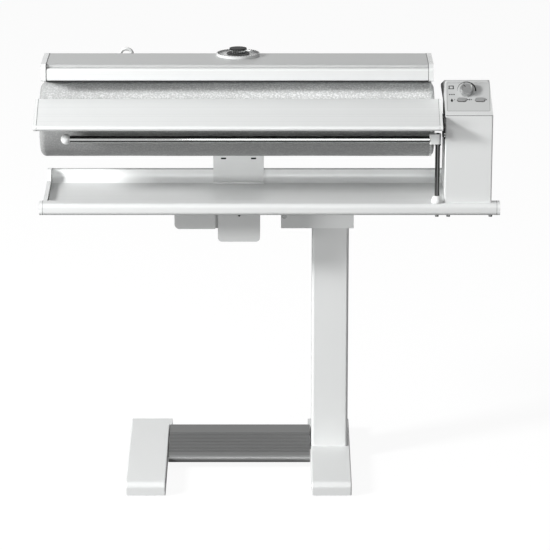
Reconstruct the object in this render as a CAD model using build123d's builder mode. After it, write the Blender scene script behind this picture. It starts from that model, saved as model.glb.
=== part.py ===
from build123d import *

import math
import os

# Flatwork ironer: a heated shoe over a padded roller, carried by a head that folds on a stand
# with one column and a foot pedal. Millimetres. X runs along the roller to the control box,
# Y from the front to the rear, Z up. The origin is on the floor under the middle of the part.

# -------------------------------------------------- fits and clearances
run_gap = 0.05  # radial gap of a pin or shaft that turns in its bore
seat_gap = 0.2  # gap between a piece and the one it is pushed into or over
side_gap = 0.4  # gap beside a piece that swings between two cheeks
slide_gap = 0.3  # gap round a piece that slides in a slot

# -------------------------------------------------- stand
foot_length = 380.0
foot_width = 87.5
left_foot_x = -267.6
right_foot_x = 138.6
foot_top = 32.0
foot_floor_gap = 3.0
foot_wall = 2.5
foot_nose_round = 12.0
foot_edge_round = 3.0
cheek_width = 5.5  # the step on the inner side of each foot, over its wheel
cheek_length = 37.0
rail_width = 50.0
rail_height = 20.0
rail_wall = 2.5
rail_end_gap = 11.0
pad_radius = 16.0
pad_inset = 40.0  # from the end of the foot to a pad's centre
wheel_radius = 13.0
wheel_width = 10.0
wheel_inset = 18.0
wheel_floor_gap = 2.0
wheel_axle_radius = 4.0
wheel_round = 1.5
cross_y = 80.0
cross_depth = 40.0
cross_height = 15.0
column_x = 136.5
column_width = 80.5
column_y = 64.0
column_depth = 80.0
column_top = 550.0
column_wall = 2.5
column_corner = 6.0
column_plate = 4.0
bracket_left = 28.2
bracket_right = 187.0
bracket_height = 50.0
bracket_wall = 3.0
bracket_corner = 8.0
buffer_x = 137.0
buffer_radius = 12.0
bolt_radius = 4.0
bolt_head_radius = 7.0
bolt_head = 5.0
bolt_tail = 6.0
bolt_inset_x = 22.0  # from the column's faces to its bolts
bolt_inset_y = 18.0

# -------------------------------------------------- folding pivot of the head
pivot_x = 35.0
pivot_z = 578.0
pivot_radius = 4.0
pivot_head_radius = 5.5
pivot_head = 2.0
barrel_radius = 7.0
lever_thick = 10.0
lever_hub_radius = 14.0
lever_reach = 62.0
lever_width = 14.0
lever_grip_radius = 9.0
lever_grip = 16.0

# -------------------------------------------------- pedal
pedal_side_gap = 1.7
pedal_hinge_y = 125.0
pedal_hinge_z = 22.0
pedal_rod_radius = 4.0
pedal_rear_y = 140.0
pedal_rear_z = 37.5
pedal_front_y = -24.0
pedal_front_z = 29.2
pedal_lip_drop = 14.0
pedal_lip_radius = 6.0
pedal_sheet = 2.5
pedal_flange_drop = 8.0
pedal_ear = 8.5  # from the hinge to the lower corners of the pedal's two ears
pedal_rib_count = 14
pedal_rib_pitch = 7.6
pedal_rib_height = 0.8
pedal_rib_width = 2.2
pedal_rib_front = 20.0  # from the front bend to the first rib
spring_length = 40.0
spring_wire = 3.0
spring_leg = 14.0
switch_width = 30.0
switch_depth = 15.0
switch_height = 12.0
switch_plunger_radius = 2.5
switch_plunger = 2.0

# -------------------------------------------------- head beam, front rail and tray
beam_left = -215.0
beam_right = 470.0
beam_y = 60.0
beam_depth = 80.0
beam_bottom = 589.0
beam_height = 38.0
beam_wall = 3.0
beam_bracket_gap = 5.0
rail_cap = 7.0
fascia_left = -489.6
fascia_right = 496.5
fascia_front = -130.0
fascia_rear = -104.0
fascia_bottom = 625.5
fascia_top = 652.0
fascia_wall = 2.5
fascia_round = 9.0
tray_left = -476.0
tray_sheet_thick = 2.0
tray_rear = 107.0
tray_cove = 18.0
tray_rear_height = 31.0
tray_rear_top = beam_bottom + beam_height + tray_rear_height
tray_lip = 1.0
tray_end = 8.5
tray_end_height = 12.0
tray_end_foot = 34.0  # from the tray's rear to where its end cap comes down to that height
tray_end_back = 14.0  # thickness of the cap's upright part
tray_end_round = 2.0

# -------------------------------------------------- roller
box_left = 376.8  # the control box, which the roller, boards and rails end beside
roller_z = 803.0
roller_left = -489.5
roller_gap = 19.9  # from the cloth to the control box
roller_right = box_left - roller_gap
cloth_radius = 80.0
cloth_thick = 2.2
cloth_round = 13.0
cloth_end_hole = 46.0
padding_thick = 5.4
padding_round = 5.0
core_wall = 2.5
core_disc = 5.0
core_end_gap = 6.0
shaft_radius = 12.0
shaft_reach = 91.2  # into the control box
shaft_end_x = box_left + shaft_reach
pulley_inset = 47.2
pulley_left = box_left + pulley_inset
pulley_width = 16.0
pulley_radius = 40.0
pulley_groove = 2.0
motor_y = 10.0
motor_z = 690.0
motor_radius = 36.0
motor_length = 36.0
motor_pulley_radius = 12.0
motor_shaft_radius = 5.0
motor_bore_depth = 7.0  # where the motor's bore starts, from its closed end
motor_shaft_depth = 8.0
belt_thick = 2.4
belt_gap = 0.3
bearing_radius = 26.0
bearing_length = 14.0

# -------------------------------------------------- support bracket and heater lift
support_left = -120.5
support_right = -9.6
support_sheet = 3.0
support_front = 101.8
support_top = 725.0
support_toe = 84.0  # where the bracket ends on the tray's floor
support_bend = 15.5
support_rear = 142.0
support_cheek_low = 662.0
support_slot_z = 681.5
support_slot_length = 12.0
support_slot_width = 4.0
support_slot_inset = 22.5
heater_pivot_y = 130.0
heater_pivot_z = 700.0
heater_pin_radius = 6.0
heater_hub_radius = 12.0
arm_plate = 5.0
arm_left = -105.0
arm_right = -25.0
arm_front = 103.0
arm_back = 116.0
arm_top = 848.0
arm_bend_z = 768.0
tail_x = -65.0
tail_thick = 8.0
tail_width = 16.0
tail_pin_drop = 125.0  # from the heater's pivot down to the pin that the lift rod pulls
tail_end = 8.0
tail_pin_radius = 4.0
tail_pin_length = 26.0
fork_ear = 8.0
fork_side_gap = 2.0
fork_web_gap = 4.0
fork_back = 12.0
fork_low = 13.0
fork_high = 11.0
fork_web = 10.0
lift_rod_radius = 5.0
lift_rod_end_y = -38.0
housing_front = -70.0
housing_rear = 5.0
housing_wall = 2.0
left_housing_left = -202.0
left_housing_right = -114.0
left_housing_low = 576.0
left_housing_round = 11.0
deep_housing_left = -108.4
deep_housing_right = -17.4
deep_housing_low = 547.0
deep_housing_round = 9.0
housing_joint_recess = 6.0  # of the strip between the two housings, from their fronts
lift_motor_height = 44.0
lift_motor_gap = 3.0  # beside the lift rod
lift_motor_inset = 8.0  # from the housing's ends
lift_gear_front = -30.0
lift_gear_back = -8.0
lift_gear_wall = 6.0

# -------------------------------------------------- heater
shoe_gap = 1.0  # between the cloth and the closed shoe
shoe_thick = 6.0
shoe_front_angle = 82.0  # from +Y, over the top
shoe_rear_angle = -15.0
shoe_lip_y = -48.0
shoe_lip_z = 908.0
heater_left = -483.6
heater_gap = 24.0  # from the heater to the control box
heater_right = box_left - heater_gap
heater_cap = 10.4
cap_proud = 0.5  # how far the end caps stand out round the cover and the guard
cap_chin = 3.0
cap_corner = 2.0
cap_front_corner = 5.0
cap_rear_corner = 4.0
element_radius = 4.0
element_angles = (15.0, 45.0, 75.0)
element_inset = 14.0
cover_front_y = -54.0
cover_back_y = 75.0
cover_back_z = 930.0
cover_rise = 11.0  # the top slopes up to the front
cover_front_z = cover_back_z + cover_rise
cover_rear_y = 120.0
cover_shoulder_drop = 43.5
cover_shoulder_z = cover_back_z - cover_shoulder_drop
cover_back_height = 109.0
cover_low_z = cover_shoulder_z - cover_back_height
cover_lip = 16.0
cover_lip_low = cover_front_z - cover_lip
cover_sheet = 2.0
cover_front_round = 4.0
cover_shoulder_round = 25.0
cover_hole_half = 10.0
tank_left = -160.0
tank_right = 30.0
tank_front = 2.0
tank_back = 76.0
tank_drop = 8.5  # below the cover's top
tank_height = 21.5
tank_high = cover_back_z - tank_drop
tank_low = tank_high - tank_height
tank_wall = 2.0
dial_x = -64.6
dial_y = 45.0
dial_radius = 46.5
dial_thick = 3.0
collar_height = 6.0  # the raised rim round the dial
collar_width = 3.0
collar_edge = 0.6
neck_radius = 17.0
neck_drop = 3.0  # from the cover's top to the filling neck
steam_base_radius = 24.5
steam_base = 3.0
steam_body_radius = 14.0
steam_body = 7.0
steam_cap_radius = 18.5
steam_cap = 3.0
steam_flutes = 18
steam_flute_radius = 1.6
steam_stem_radius = 5.0
guard_front = -66.0
guard_back = -56.0
guard_height = 27.0
guard_drop = 7.0  # below the front of the cover's top
guard_high = cover_front_z - guard_drop
guard_low = guard_high - guard_height
guard_round = 4.0
guard_wall = 1.8
guard_hinge_y = -59.0
guard_hinge_drop = 6.0
guard_hinge_z = guard_high - guard_hinge_drop
guard_pin_radius = 2.0
guard_pin = 5.0
hook_left = -321.7
hook_right = -296.0
hook_wire = 3.7
hook_y = 124.0
hook_height = 51.0
hook_drop = 5.0  # below the back edge of the cover's top
hook_high = cover_back_z - hook_drop
hook_low = hook_high - hook_height
hook_round = 12.5
hook_tip_drop = 18.0
hook_foot_half = 10.0
hook_foot_rise = 6.0

# -------------------------------------------------- control box
box_width = 101.4
box_right = box_left + box_width
box_front = -118.0
box_rear = 110.0
box_sheet = 2.5
box_step = 5.2  # the body's side walls stand this far inside the front cover
box_top = 846.0
box_edge_round = 3.0
head_crest_y = -65.0
head_crest_z = 906.0
head_crest_flat = 12.0
head_rear_z = 850.0
head_floor_lip = 12.0
head_corner = 5.0
head_rear_corner = 1.0
head_seam_corner = 0.5
head_lean = 6.0  # of its right side, from the seam up to the crest
head_side_corner = 6.0
shaft_hole_gap = 1.0
panel_inset = 4.2
panel_width = 90.5
panel_left = box_left + panel_inset
panel_right = panel_left + panel_width
panel_low = 11.0  # up the slope, from its lower edge
panel_high = 77.0
panel_sheet = 1.0
panel_corner = 2.0
knob_inset = 42.0
knob_x = panel_left + knob_inset
knob_up = 59.5
knob_radius = 15.2
knob_height = 11.0
knob_skirt = 3.0
knob_step = 1.5
knob_taper = 6
knob_stem_radius = 3.0
knob_stem = 9.0
button_up = 37.3
button_height = 8.6
left_button_inset = 30.8
left_button_x = panel_left + left_button_inset
left_button_width = 18.7
right_button_inset = 69.7
right_button_x = panel_left + right_button_inset
right_button_width = 20.2
button_proud = 1.6
button_depth = 7.0
gland_inset = 50.7
gland_x = box_left + gland_inset
gland_z = 668.0
gland_radius = 11.0
gland_neck_radius = 7.0
gland_length = 14.0
gland_bore = 3.6

# -------------------------------------------------- feed board and laundry rail
board_left = -496.5
board_gap = 6.5  # from the board to the control box
board_right = box_left - board_gap
board_cap = 6.6
board_nose_y = -155.0
board_nose_z = 827.5
board_top_y = -149.0
board_top_z = 834.0
board_rear_y = -62.0
board_rear_z = 866.5
board_rear_thick = 4.0
board_low_y = -147.0
board_low_z = 822.0
board_wall = 2.0
board_hollow_rear = -92.0
board_hinge_y = -118.0
board_hinge_z = 806.0
board_pin_radius = 3.5
board_arm_thick = 3.0
board_arm_radius = 7.0
board_arm_inset = 2.0
board_arm_lap = 1.0
board_block_depth = 18.0
board_block_height = 20.0
screw_radius = 1.5
screw_head = 0.8
screw_spread = 2.7
post_inset = 15.2  # from the control box to the post
post_x = box_left - post_inset
post_y = -114.0
post_radius = 5.3
post_foot_radius = 12.0
post_foot_height = 15.0
post_foot_edge = 4.0
post_foot_shoulder_out = 0.83  # shares of the foot's radius and height
post_foot_shoulder_up = 0.73
post_foot_mouth = 1.0
post_top_gap = 0.5
post_collar = 1.5
post_collar_height = 3.0
hang_z = 792.5
hang_radius = 8.0
hang_wall = 1.5
hang_left = -422.0
ball_radius = 11.0
knuckle_radius = 7.0
knuckle_height = 22.0
knuckle_rise = 12.5  # from the rod's axis to the knuckle's top
knuckle_reach = 18.0
knuckle_cap = 2.5
knuckle_round = 3.0
leveller_radius = 4.0
leveller_height = 4.5
leveller_inset = 14.0
leveller_places = (361.6, 386.0, 476.5)


# -------------------------------------------------- plain shapes, drawn where they stand
def slab(x_span, y_span, z_span, mode=Mode.ADD):
    """A box between two places along each axis."""
    spans = (x_span, y_span, z_span)
    with Locations(tuple((low + high) / 2 for low, high in spans)):
        Box(*(high - low for low, high in spans), mode=mode)


def rod_x(x_span, y, z, radius, mode=Mode.ADD):
    """A cylinder along X."""
    with Locations(Location(((x_span[0] + x_span[1]) / 2, y, z), (0, 90, 0))):
        Cylinder(radius, x_span[1] - x_span[0], mode=mode)


def rod_y(x, y_span, z, radius, mode=Mode.ADD):
    """A cylinder along Y."""
    with Locations(Location((x, (y_span[0] + y_span[1]) / 2, z), (90, 0, 0))):
        Cylinder(radius, y_span[1] - y_span[0], mode=mode)


def rod_z(x, y, z_span, radius, mode=Mode.ADD):
    """A cylinder along Z."""
    with Locations((x, y, (z_span[0] + z_span[1]) / 2)):
        Cylinder(radius, z_span[1] - z_span[0], mode=mode)


def polar(radius, degrees):
    """A point of the roller's cross-section, by its distance and angle from the roller's axis."""
    angle = math.radians(degrees)
    return (radius * math.cos(angle), roller_z + radius * math.sin(angle))


def export(piece, name):
    """Names a finished piece and writes it."""
    piece.part.label = name
    export_step(piece.part, f"parts/{name}.step")


os.makedirs("parts", exist_ok=True)

# -------------------------------------------------- stand: welded base frame
foot_half = foot_length / 2
frame_top = foot_top - foot_wall
frame_low = frame_top - rail_height
foot_places = (left_foot_x, right_foot_x)
foot_turns = (1, -1)  # the side of each foot that faces the pedal
rail_half_length = foot_half - foot_wall - rail_end_gap
wheel_y = foot_half - wheel_inset
wheel_z = wheel_floor_gap + wheel_radius
wheel_out = rail_width / 2 + seat_gap  # from the foot's middle to the wheel's near face
cross_top = frame_low + cross_height
cross_span = (cross_y - cross_depth / 2, cross_y + cross_depth / 2)

with BuildPart() as base_frame:
    for foot_x in foot_places:
        rail_span = (foot_x - rail_width / 2, foot_x + rail_width / 2)
        slab(rail_span, (-rail_half_length, rail_half_length), (frame_low, frame_top))
        slab(
            (rail_span[0] + rail_wall, rail_span[1] - rail_wall),
            (-rail_half_length, rail_half_length),
            (frame_low + rail_wall, frame_top - rail_wall),
            Mode.SUBTRACT,
        )
    slab(
        (left_foot_x + rail_width / 2, right_foot_x - rail_width / 2),
        cross_span,
        (frame_low, cross_top),
    )
    slab(
        (left_foot_x + rail_width / 2, right_foot_x - rail_width / 2),
        (cross_span[0] + rail_wall, cross_span[1] - rail_wall),
        (frame_low + rail_wall, cross_top - rail_wall),
        Mode.SUBTRACT,
    )
    for foot_x, turn in zip(foot_places, foot_turns):
        inner = foot_x + turn * (rail_width / 2 - rail_wall)
        outer = foot_x + turn * (foot_width / 2 - foot_wall - seat_gap)
        rod_x(sorted((inner, outer)), wheel_y, wheel_z, wheel_axle_radius)
    rod_x(
        (left_foot_x + rail_width / 2, right_foot_x - rail_width / 2),
        pedal_hinge_y, pedal_hinge_z, pedal_rod_radius,
    )
export(base_frame, "base_frame")

# -------------------------------------------------- stand: foot covers, pads and wheels
rod_notch = pedal_rod_radius + seat_gap
for name, foot_x, turn in zip(("left", "right"), foot_places, foot_turns):
    inner_side = foot_x + turn * foot_width / 2
    cheek_side = inner_side + turn * cheek_width
    with BuildPart() as foot_cover:
        slab(
            (foot_x - foot_width / 2, foot_x + foot_width / 2),
            (-foot_half, foot_half),
            (foot_floor_gap, foot_top),
        )
        front_top = foot_cover.edges().filter_by(Axis.X).group_by(Axis.Y)[0].sort_by(Axis.Z)[-1]
        fillet(front_top, foot_nose_round)
        fillet(foot_cover.edges().filter_by(Axis.Z).group_by(Axis.Y)[0], foot_edge_round)
        open_face = foot_cover.faces().sort_by(Axis.Z)[0]
        offset(amount=-foot_wall, openings=open_face)
        slab(
            sorted((inner_side - turn * foot_wall, cheek_side)),
            (foot_half - cheek_length, foot_half),
            (foot_floor_gap, foot_top),
        )
        slab(
            sorted((inner_side - turn * 2 * foot_wall, inner_side + turn * foot_wall)),
            (cross_span[0] - seat_gap, cross_span[1] + seat_gap),
            (foot_floor_gap, cross_top + seat_gap),
            Mode.SUBTRACT,
        )
        slab(
            sorted((inner_side - turn * 2 * foot_wall, inner_side + turn * foot_wall)),
            (pedal_hinge_y - rod_notch, pedal_hinge_y + rod_notch),
            (foot_floor_gap, pedal_hinge_z + rod_notch),
            Mode.SUBTRACT,
        )
        if name == "right":
            slab(
                (column_x - column_width / 2 - seat_gap, column_x + column_width / 2 + seat_gap),
                (column_y - column_depth / 2 - seat_gap, column_y + column_depth / 2 + seat_gap),
                (foot_top - 2 * foot_wall, foot_top),
                Mode.SUBTRACT,
            )
    export(foot_cover, f"{name}_foot_cover")

    with BuildPart() as wheel:
        wheel_near = foot_x + turn * wheel_out
        wheel_span = sorted((wheel_near, wheel_near + turn * wheel_width))
        rod_x(wheel_span, wheel_y, wheel_z, wheel_radius)
        fillet(wheel.edges().filter_by(GeomType.CIRCLE), wheel_round)
        rod_x(wheel_span, wheel_y, wheel_z, wheel_axle_radius + run_gap, Mode.SUBTRACT)
    export(wheel, f"{name}_wheel")

with BuildPart() as foot_pads:
    for foot_x in foot_places:
        for end in (-1, 1):
            rod_z(foot_x, end * (foot_half - pad_inset), (0, frame_low), pad_radius)
export(foot_pads, "foot_pads")

# -------------------------------------------------- stand: column and pivot bracket
bracket_front = beam_y - beam_depth / 2 - beam_bracket_gap - bracket_wall
bracket_rear = beam_y + beam_depth / 2 + beam_bracket_gap + bracket_wall
bracket_top = column_top + bracket_height
bolt_places = [
    (
        column_x + side * (column_width / 2 - bolt_inset_x),
        column_y + end * (column_depth / 2 - bolt_inset_y),
    )
    for side in (-1, 1)
    for end in (-1, 1)
]

with BuildPart() as column:
    with BuildSketch(Plane.XY.offset(frame_top)):
        with Locations((column_x, column_y)):
            RectangleRounded(column_width, column_depth, column_corner)
            RectangleRounded(
                column_width - 2 * column_wall,
                column_depth - 2 * column_wall,
                column_corner - column_wall,
                mode=Mode.SUBTRACT,
            )
    extrude(amount=column_top - frame_top)
    for level in (frame_top, column_top - column_plate):
        slab(
            (column_x - column_width / 2 + column_wall, column_x + column_width / 2 - column_wall),
            (column_y - column_depth / 2 + column_wall, column_y + column_depth / 2 - column_wall),
            (level, level + column_plate),
        )
    for x, y in bolt_places:
        rod_z(x, y, (column_top - column_plate, column_top), bolt_radius, Mode.SUBTRACT)
export(column, "column")

with BuildPart() as pivot_bracket:
    slab(
        (bracket_left, bracket_right), (bracket_front, bracket_rear),
        (column_top, column_top + bracket_wall),
    )
    for wall_y in (bracket_front, bracket_rear - bracket_wall):
        slab(
            (bracket_left, bracket_right), (wall_y, wall_y + bracket_wall),
            (column_top, bracket_top),
        )
    fillet(
        pivot_bracket.edges().filter_by(Axis.Y).group_by(Axis.Z)[-1],
        bracket_corner,
    )
    rod_y(pivot_x, (bracket_front, bracket_rear), pivot_z, pivot_radius + seat_gap, Mode.SUBTRACT)
    for x, y in bolt_places:
        rod_z(x, y, (column_top, column_top + bracket_wall), bolt_radius, Mode.SUBTRACT)
export(pivot_bracket, "pivot_bracket")

with BuildPart() as stand_bolts:
    bolt_low = column_top - column_plate - bolt_tail
    bolt_high = column_top + bracket_wall
    for x, y in bolt_places:
        rod_z(x, y, (bolt_low, bolt_high), bolt_radius - seat_gap)
        rod_z(x, y, (bolt_high, bolt_high + bolt_head), bolt_head_radius)
export(stand_bolts, "stand_bolts")

with BuildPart() as rest_buffer:
    rod_z(
        buffer_x, beam_y, (column_top + bracket_wall, beam_bottom - slide_gap), buffer_radius,
    )
export(rest_buffer, "rest_buffer")

lever_front = bracket_rear + slide_gap
lever_rear = lever_front + lever_thick
with BuildPart() as pivot_pin:
    rod_y(
        pivot_x, (bracket_front, lever_rear + slide_gap), pivot_z, pivot_radius,
    )
    rod_y(pivot_x, (bracket_front - pivot_head, bracket_front), pivot_z, pivot_head_radius)
    rod_y(
        pivot_x, (lever_rear + slide_gap, lever_rear + slide_gap + pivot_head), pivot_z,
        pivot_head_radius,
    )
export(pivot_pin, "pivot_pin")

with BuildPart() as lock_lever:
    rod_y(pivot_x, (lever_front, lever_rear), pivot_z, lever_hub_radius)
    slab(
        (pivot_x, pivot_x + lever_reach), (lever_front, lever_rear),
        (pivot_z - lever_width / 2, pivot_z + lever_width / 2),
    )
    rod_y(
        pivot_x + lever_reach, (lever_front, lever_rear + lever_grip), pivot_z, lever_grip_radius,
    )
    rod_y(pivot_x, (lever_front, lever_rear), pivot_z, pivot_radius + run_gap, Mode.SUBTRACT)
export(lock_lever, "lock_lever")

# -------------------------------------------------- pedal
pedal_left = left_foot_x + foot_width / 2 + pedal_side_gap
pedal_right = right_foot_x - foot_width / 2 - pedal_side_gap
pedal_slope = math.atan2(pedal_rear_z - pedal_front_z, pedal_rear_y - pedal_front_y)


def pedal_top(y):
    """Height of the pedal's upper face."""
    return pedal_front_z + (y - pedal_front_y) * math.tan(pedal_slope)


pedal_ear_front = cross_span[1] + pedal_ear / 2
with BuildPart() as pedal_plate:
    with BuildSketch(Plane.YZ.offset(pedal_left)):
        with BuildLine():
            Polyline(
                (pedal_rear_y, pedal_rear_z - pedal_flange_drop),
                (pedal_rear_y, pedal_rear_z),
                (pedal_front_y, pedal_front_z),
            )
            lip = JernArc(
                start=(pedal_front_y, pedal_front_z),
                tangent=(-math.cos(pedal_slope), -math.sin(pedal_slope)),
                radius=pedal_lip_radius,
                arc_size=90 - math.degrees(pedal_slope),
            )
            lip_y = lip.position_at(1).X
            Polyline(
                lip.position_at(1),
                (lip_y, pedal_front_z - pedal_lip_drop),
                (lip_y + pedal_sheet, pedal_front_z - pedal_lip_drop),
                (lip_y + pedal_sheet, pedal_top(pedal_front_y) - pedal_lip_radius),
                (pedal_front_y, pedal_top(pedal_front_y) - pedal_sheet),
                (pedal_rear_y - pedal_sheet, pedal_top(pedal_rear_y - pedal_sheet) - pedal_sheet),
                (pedal_rear_y - pedal_sheet, pedal_rear_z - pedal_flange_drop),
                (pedal_rear_y, pedal_rear_z - pedal_flange_drop),
            )
        make_face()
    extrude(amount=pedal_right - pedal_left)
    for rib in range(pedal_rib_count):
        rib_y = pedal_front_y + pedal_rib_front + rib * pedal_rib_pitch
        with BuildSketch(Plane.YZ.offset(pedal_left)):
            with Locations((rib_y, pedal_top(rib_y))):
                Rectangle(pedal_rib_width, 2 * pedal_rib_height, rotation=math.degrees(pedal_slope))
        extrude(amount=pedal_right - pedal_left)
    for low in (pedal_left, pedal_right - pedal_sheet):
        with BuildSketch(Plane.YZ.offset(low)):
            with BuildLine():
                Polyline(
                    (pedal_ear_front, pedal_top(pedal_ear_front) - pedal_sheet / 2),
                    (pedal_hinge_y - pedal_ear, pedal_hinge_z - pedal_ear),
                    (pedal_hinge_y + pedal_ear, pedal_hinge_z - pedal_ear),
                    (pedal_rear_y, pedal_rear_z - pedal_flange_drop),
                    (pedal_rear_y, pedal_top(pedal_rear_y) - pedal_sheet / 2),
                    close=True,
                )
            make_face()
        extrude(amount=pedal_sheet)
    rod_x(
        (pedal_left, pedal_right), pedal_hinge_y, pedal_hinge_z, pedal_rod_radius + run_gap,
        Mode.SUBTRACT,
    )
export(pedal_plate, "pedal_plate")

spring_x = (left_foot_x + right_foot_x) / 2
spring_inner = pedal_rod_radius + slide_gap
with BuildPart() as pedal_spring:
    rod_x(
        (spring_x - spring_length / 2, spring_x + spring_length / 2),
        pedal_hinge_y, pedal_hinge_z, spring_inner + spring_wire,
    )
    slab(
        (spring_x - spring_length / 2, spring_x - spring_length / 2 + spring_wire),
        (cross_span[1] - spring_leg, pedal_hinge_y),
        (cross_top, cross_top + spring_wire),
    )
    slab(
        (spring_x + spring_length / 2 - spring_wire, spring_x + spring_length / 2),
        (pedal_hinge_y - spring_leg, pedal_hinge_y),
        (pedal_hinge_z + spring_inner, pedal_hinge_z + spring_inner + spring_wire),
    )
    rod_x(
        (spring_x - spring_length / 2, spring_x + spring_length / 2),
        pedal_hinge_y, pedal_hinge_z, spring_inner, Mode.SUBTRACT,
    )
export(pedal_spring, "pedal_spring")

with BuildPart() as pedal_switch:
    switch_rear = cross_span[0]
    slab(
        (spring_x - switch_width / 2, spring_x + switch_width / 2),
        (switch_rear - switch_depth, switch_rear), (cross_top - switch_height, cross_top),
    )
    rod_z(
        spring_x, switch_rear - switch_depth / 2, (cross_top, cross_top + switch_plunger),
        switch_plunger_radius,
    )
export(pedal_switch, "pedal_switch")

# -------------------------------------------------- head: beam on the folding pivot
beam_top = beam_bottom + beam_height
beam_span = (beam_y - beam_depth / 2, beam_y + beam_depth / 2)
barrel_half = (bracket_rear - bracket_front) / 2 - bracket_wall - slide_gap
bracket_mid = (bracket_rear + bracket_front) / 2

with BuildPart() as head_beam:
    slab((beam_left, beam_right), beam_span, (beam_bottom, beam_top))
    slab(
        (beam_left + beam_wall, beam_right - beam_wall),
        (beam_span[0] + beam_wall, beam_span[1] - beam_wall),
        (beam_bottom + beam_wall, beam_top - beam_wall),
        Mode.SUBTRACT,
    )
    slab(
        (beam_right - beam_wall, beam_right),
        (beam_span[0] + 2 * beam_wall, beam_span[1] - 2 * beam_wall),
        (beam_bottom + 2 * beam_wall, beam_top - 2 * beam_wall),
        Mode.SUBTRACT,
    )
    rod_y(pivot_x, (bracket_mid - barrel_half, bracket_mid + barrel_half), pivot_z, barrel_radius)
    slab(
        (pivot_x - barrel_radius, pivot_x + barrel_radius), beam_span,
        (pivot_z, beam_bottom + beam_wall),
    )
    rod_y(
        pivot_x, (bracket_front, bracket_rear), pivot_z, pivot_radius + run_gap, Mode.SUBTRACT,
    )
export(head_beam, "head_beam")

# -------------------------------------------------- head: front rail and its caps
fascia_mid_z = (fascia_bottom + fascia_top) / 2
fascia_mid_y = (fascia_front + fascia_rear) / 2
fascia_depth = fascia_rear - fascia_front
fascia_height = fascia_top - fascia_bottom

with BuildPart() as front_rail:
    with BuildSketch(Plane.YZ.offset(fascia_left + rail_cap)) as rail_section:
        with Locations((fascia_mid_y, fascia_mid_z)):
            Rectangle(fascia_depth, fascia_height)
        fillet(rail_section.vertices().group_by(Axis.X)[0], fascia_round)
        offset(amount=-fascia_wall, mode=Mode.SUBTRACT)
    extrude(amount=fascia_right - fascia_left - 2 * rail_cap)
export(front_rail, "front_rail")

with BuildPart() as rail_caps:
    for cap_left in (fascia_left, fascia_right - rail_cap):
        with BuildSketch(Plane.YZ.offset(cap_left)) as cap_section:
            with Locations((fascia_mid_y, fascia_mid_z)):
                Rectangle(fascia_depth, fascia_height)
            fillet(cap_section.vertices().group_by(Axis.X)[0], fascia_round)
        extrude(amount=rail_cap)
export(rail_caps, "rail_caps")

# -------------------------------------------------- head: collecting tray
body_left = box_left + box_step
body_right = box_right - box_step
tray_floor = beam_top + tray_sheet_thick
tray_half = tray_sheet_thick / 2
with BuildPart() as tray_sheet:
    with BuildSketch(Plane.YZ.offset(tray_left)):
        with BuildLine():
            FilletPolyline(
                (fascia_rear + tray_half, beam_top + tray_half),
                (tray_rear - tray_half, beam_top + tray_half),
                (tray_rear - tray_half, tray_rear_top - tray_half),
                radius=tray_cove,
            )
            offset(amount=tray_half, kind=Kind.INTERSECTION)
        make_face()
    extrude(amount=body_left - tray_left)
export(tray_sheet, "tray_sheet")

with BuildPart() as tray_end_cap:
    with BuildSketch(Plane.YZ.offset(tray_left - tray_end)):
        with BuildLine():
            FilletPolyline(
                (fascia_rear, beam_top), (tray_rear, beam_top),
                (tray_rear, tray_rear_top + tray_lip),
                (tray_rear - tray_end_back, tray_rear_top + tray_lip),
                (tray_rear - tray_end_foot, beam_top + tray_end_height),
                (fascia_rear, beam_top + tray_end_height),
                radius=tray_end_round, close=True,
            )
        make_face()
    extrude(amount=tray_end)
export(tray_end_cap, "tray_end_cap")

# -------------------------------------------------- head: support bracket of the heater
support_slots = (support_left + support_slot_inset, support_right - support_slot_inset)
support_half = support_sheet / 2
with BuildPart() as support_bracket:
    with BuildSketch(Plane.YZ.offset(support_left)):
        with BuildLine():
            FilletPolyline(
                (support_toe + support_half, tray_floor + support_half),
                (support_front + support_half, tray_floor + support_half),
                (support_front + support_half, support_top - support_half),
                radius=support_bend,
            )
            offset(amount=support_half, kind=Kind.INTERSECTION)
        make_face()
    extrude(amount=support_right - support_left)
    for cheek_left in (support_left, support_right - support_sheet):
        slab(
            (cheek_left, cheek_left + support_sheet), (support_front, support_rear),
            (support_cheek_low, support_top),
        )
    rod_x(
        (support_left, support_right), heater_pivot_y, heater_pivot_z,
        heater_pin_radius + run_gap, Mode.SUBTRACT,
    )
    for slot_x in support_slots:
        slab(
            (slot_x - support_slot_length / 2, slot_x + support_slot_length / 2),
            (support_front, support_front + support_sheet),
            (support_slot_z - support_slot_width / 2, support_slot_z + support_slot_width / 2),
            Mode.SUBTRACT,
        )
export(support_bracket, "support_bracket")

# -------------------------------------------------- head: lift housings under the tray
housings = (
    (left_housing_left, left_housing_right, left_housing_low, left_housing_round, 1),
    (deep_housing_left, deep_housing_right, deep_housing_low, deep_housing_round, 2),
)


def low_corners(section, count):
    """The lower corners of a housing's section, as many as are rounded, from the left."""
    return section.vertices().group_by(Axis.Y)[0].sort_by(Axis.X)[:count]


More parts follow.
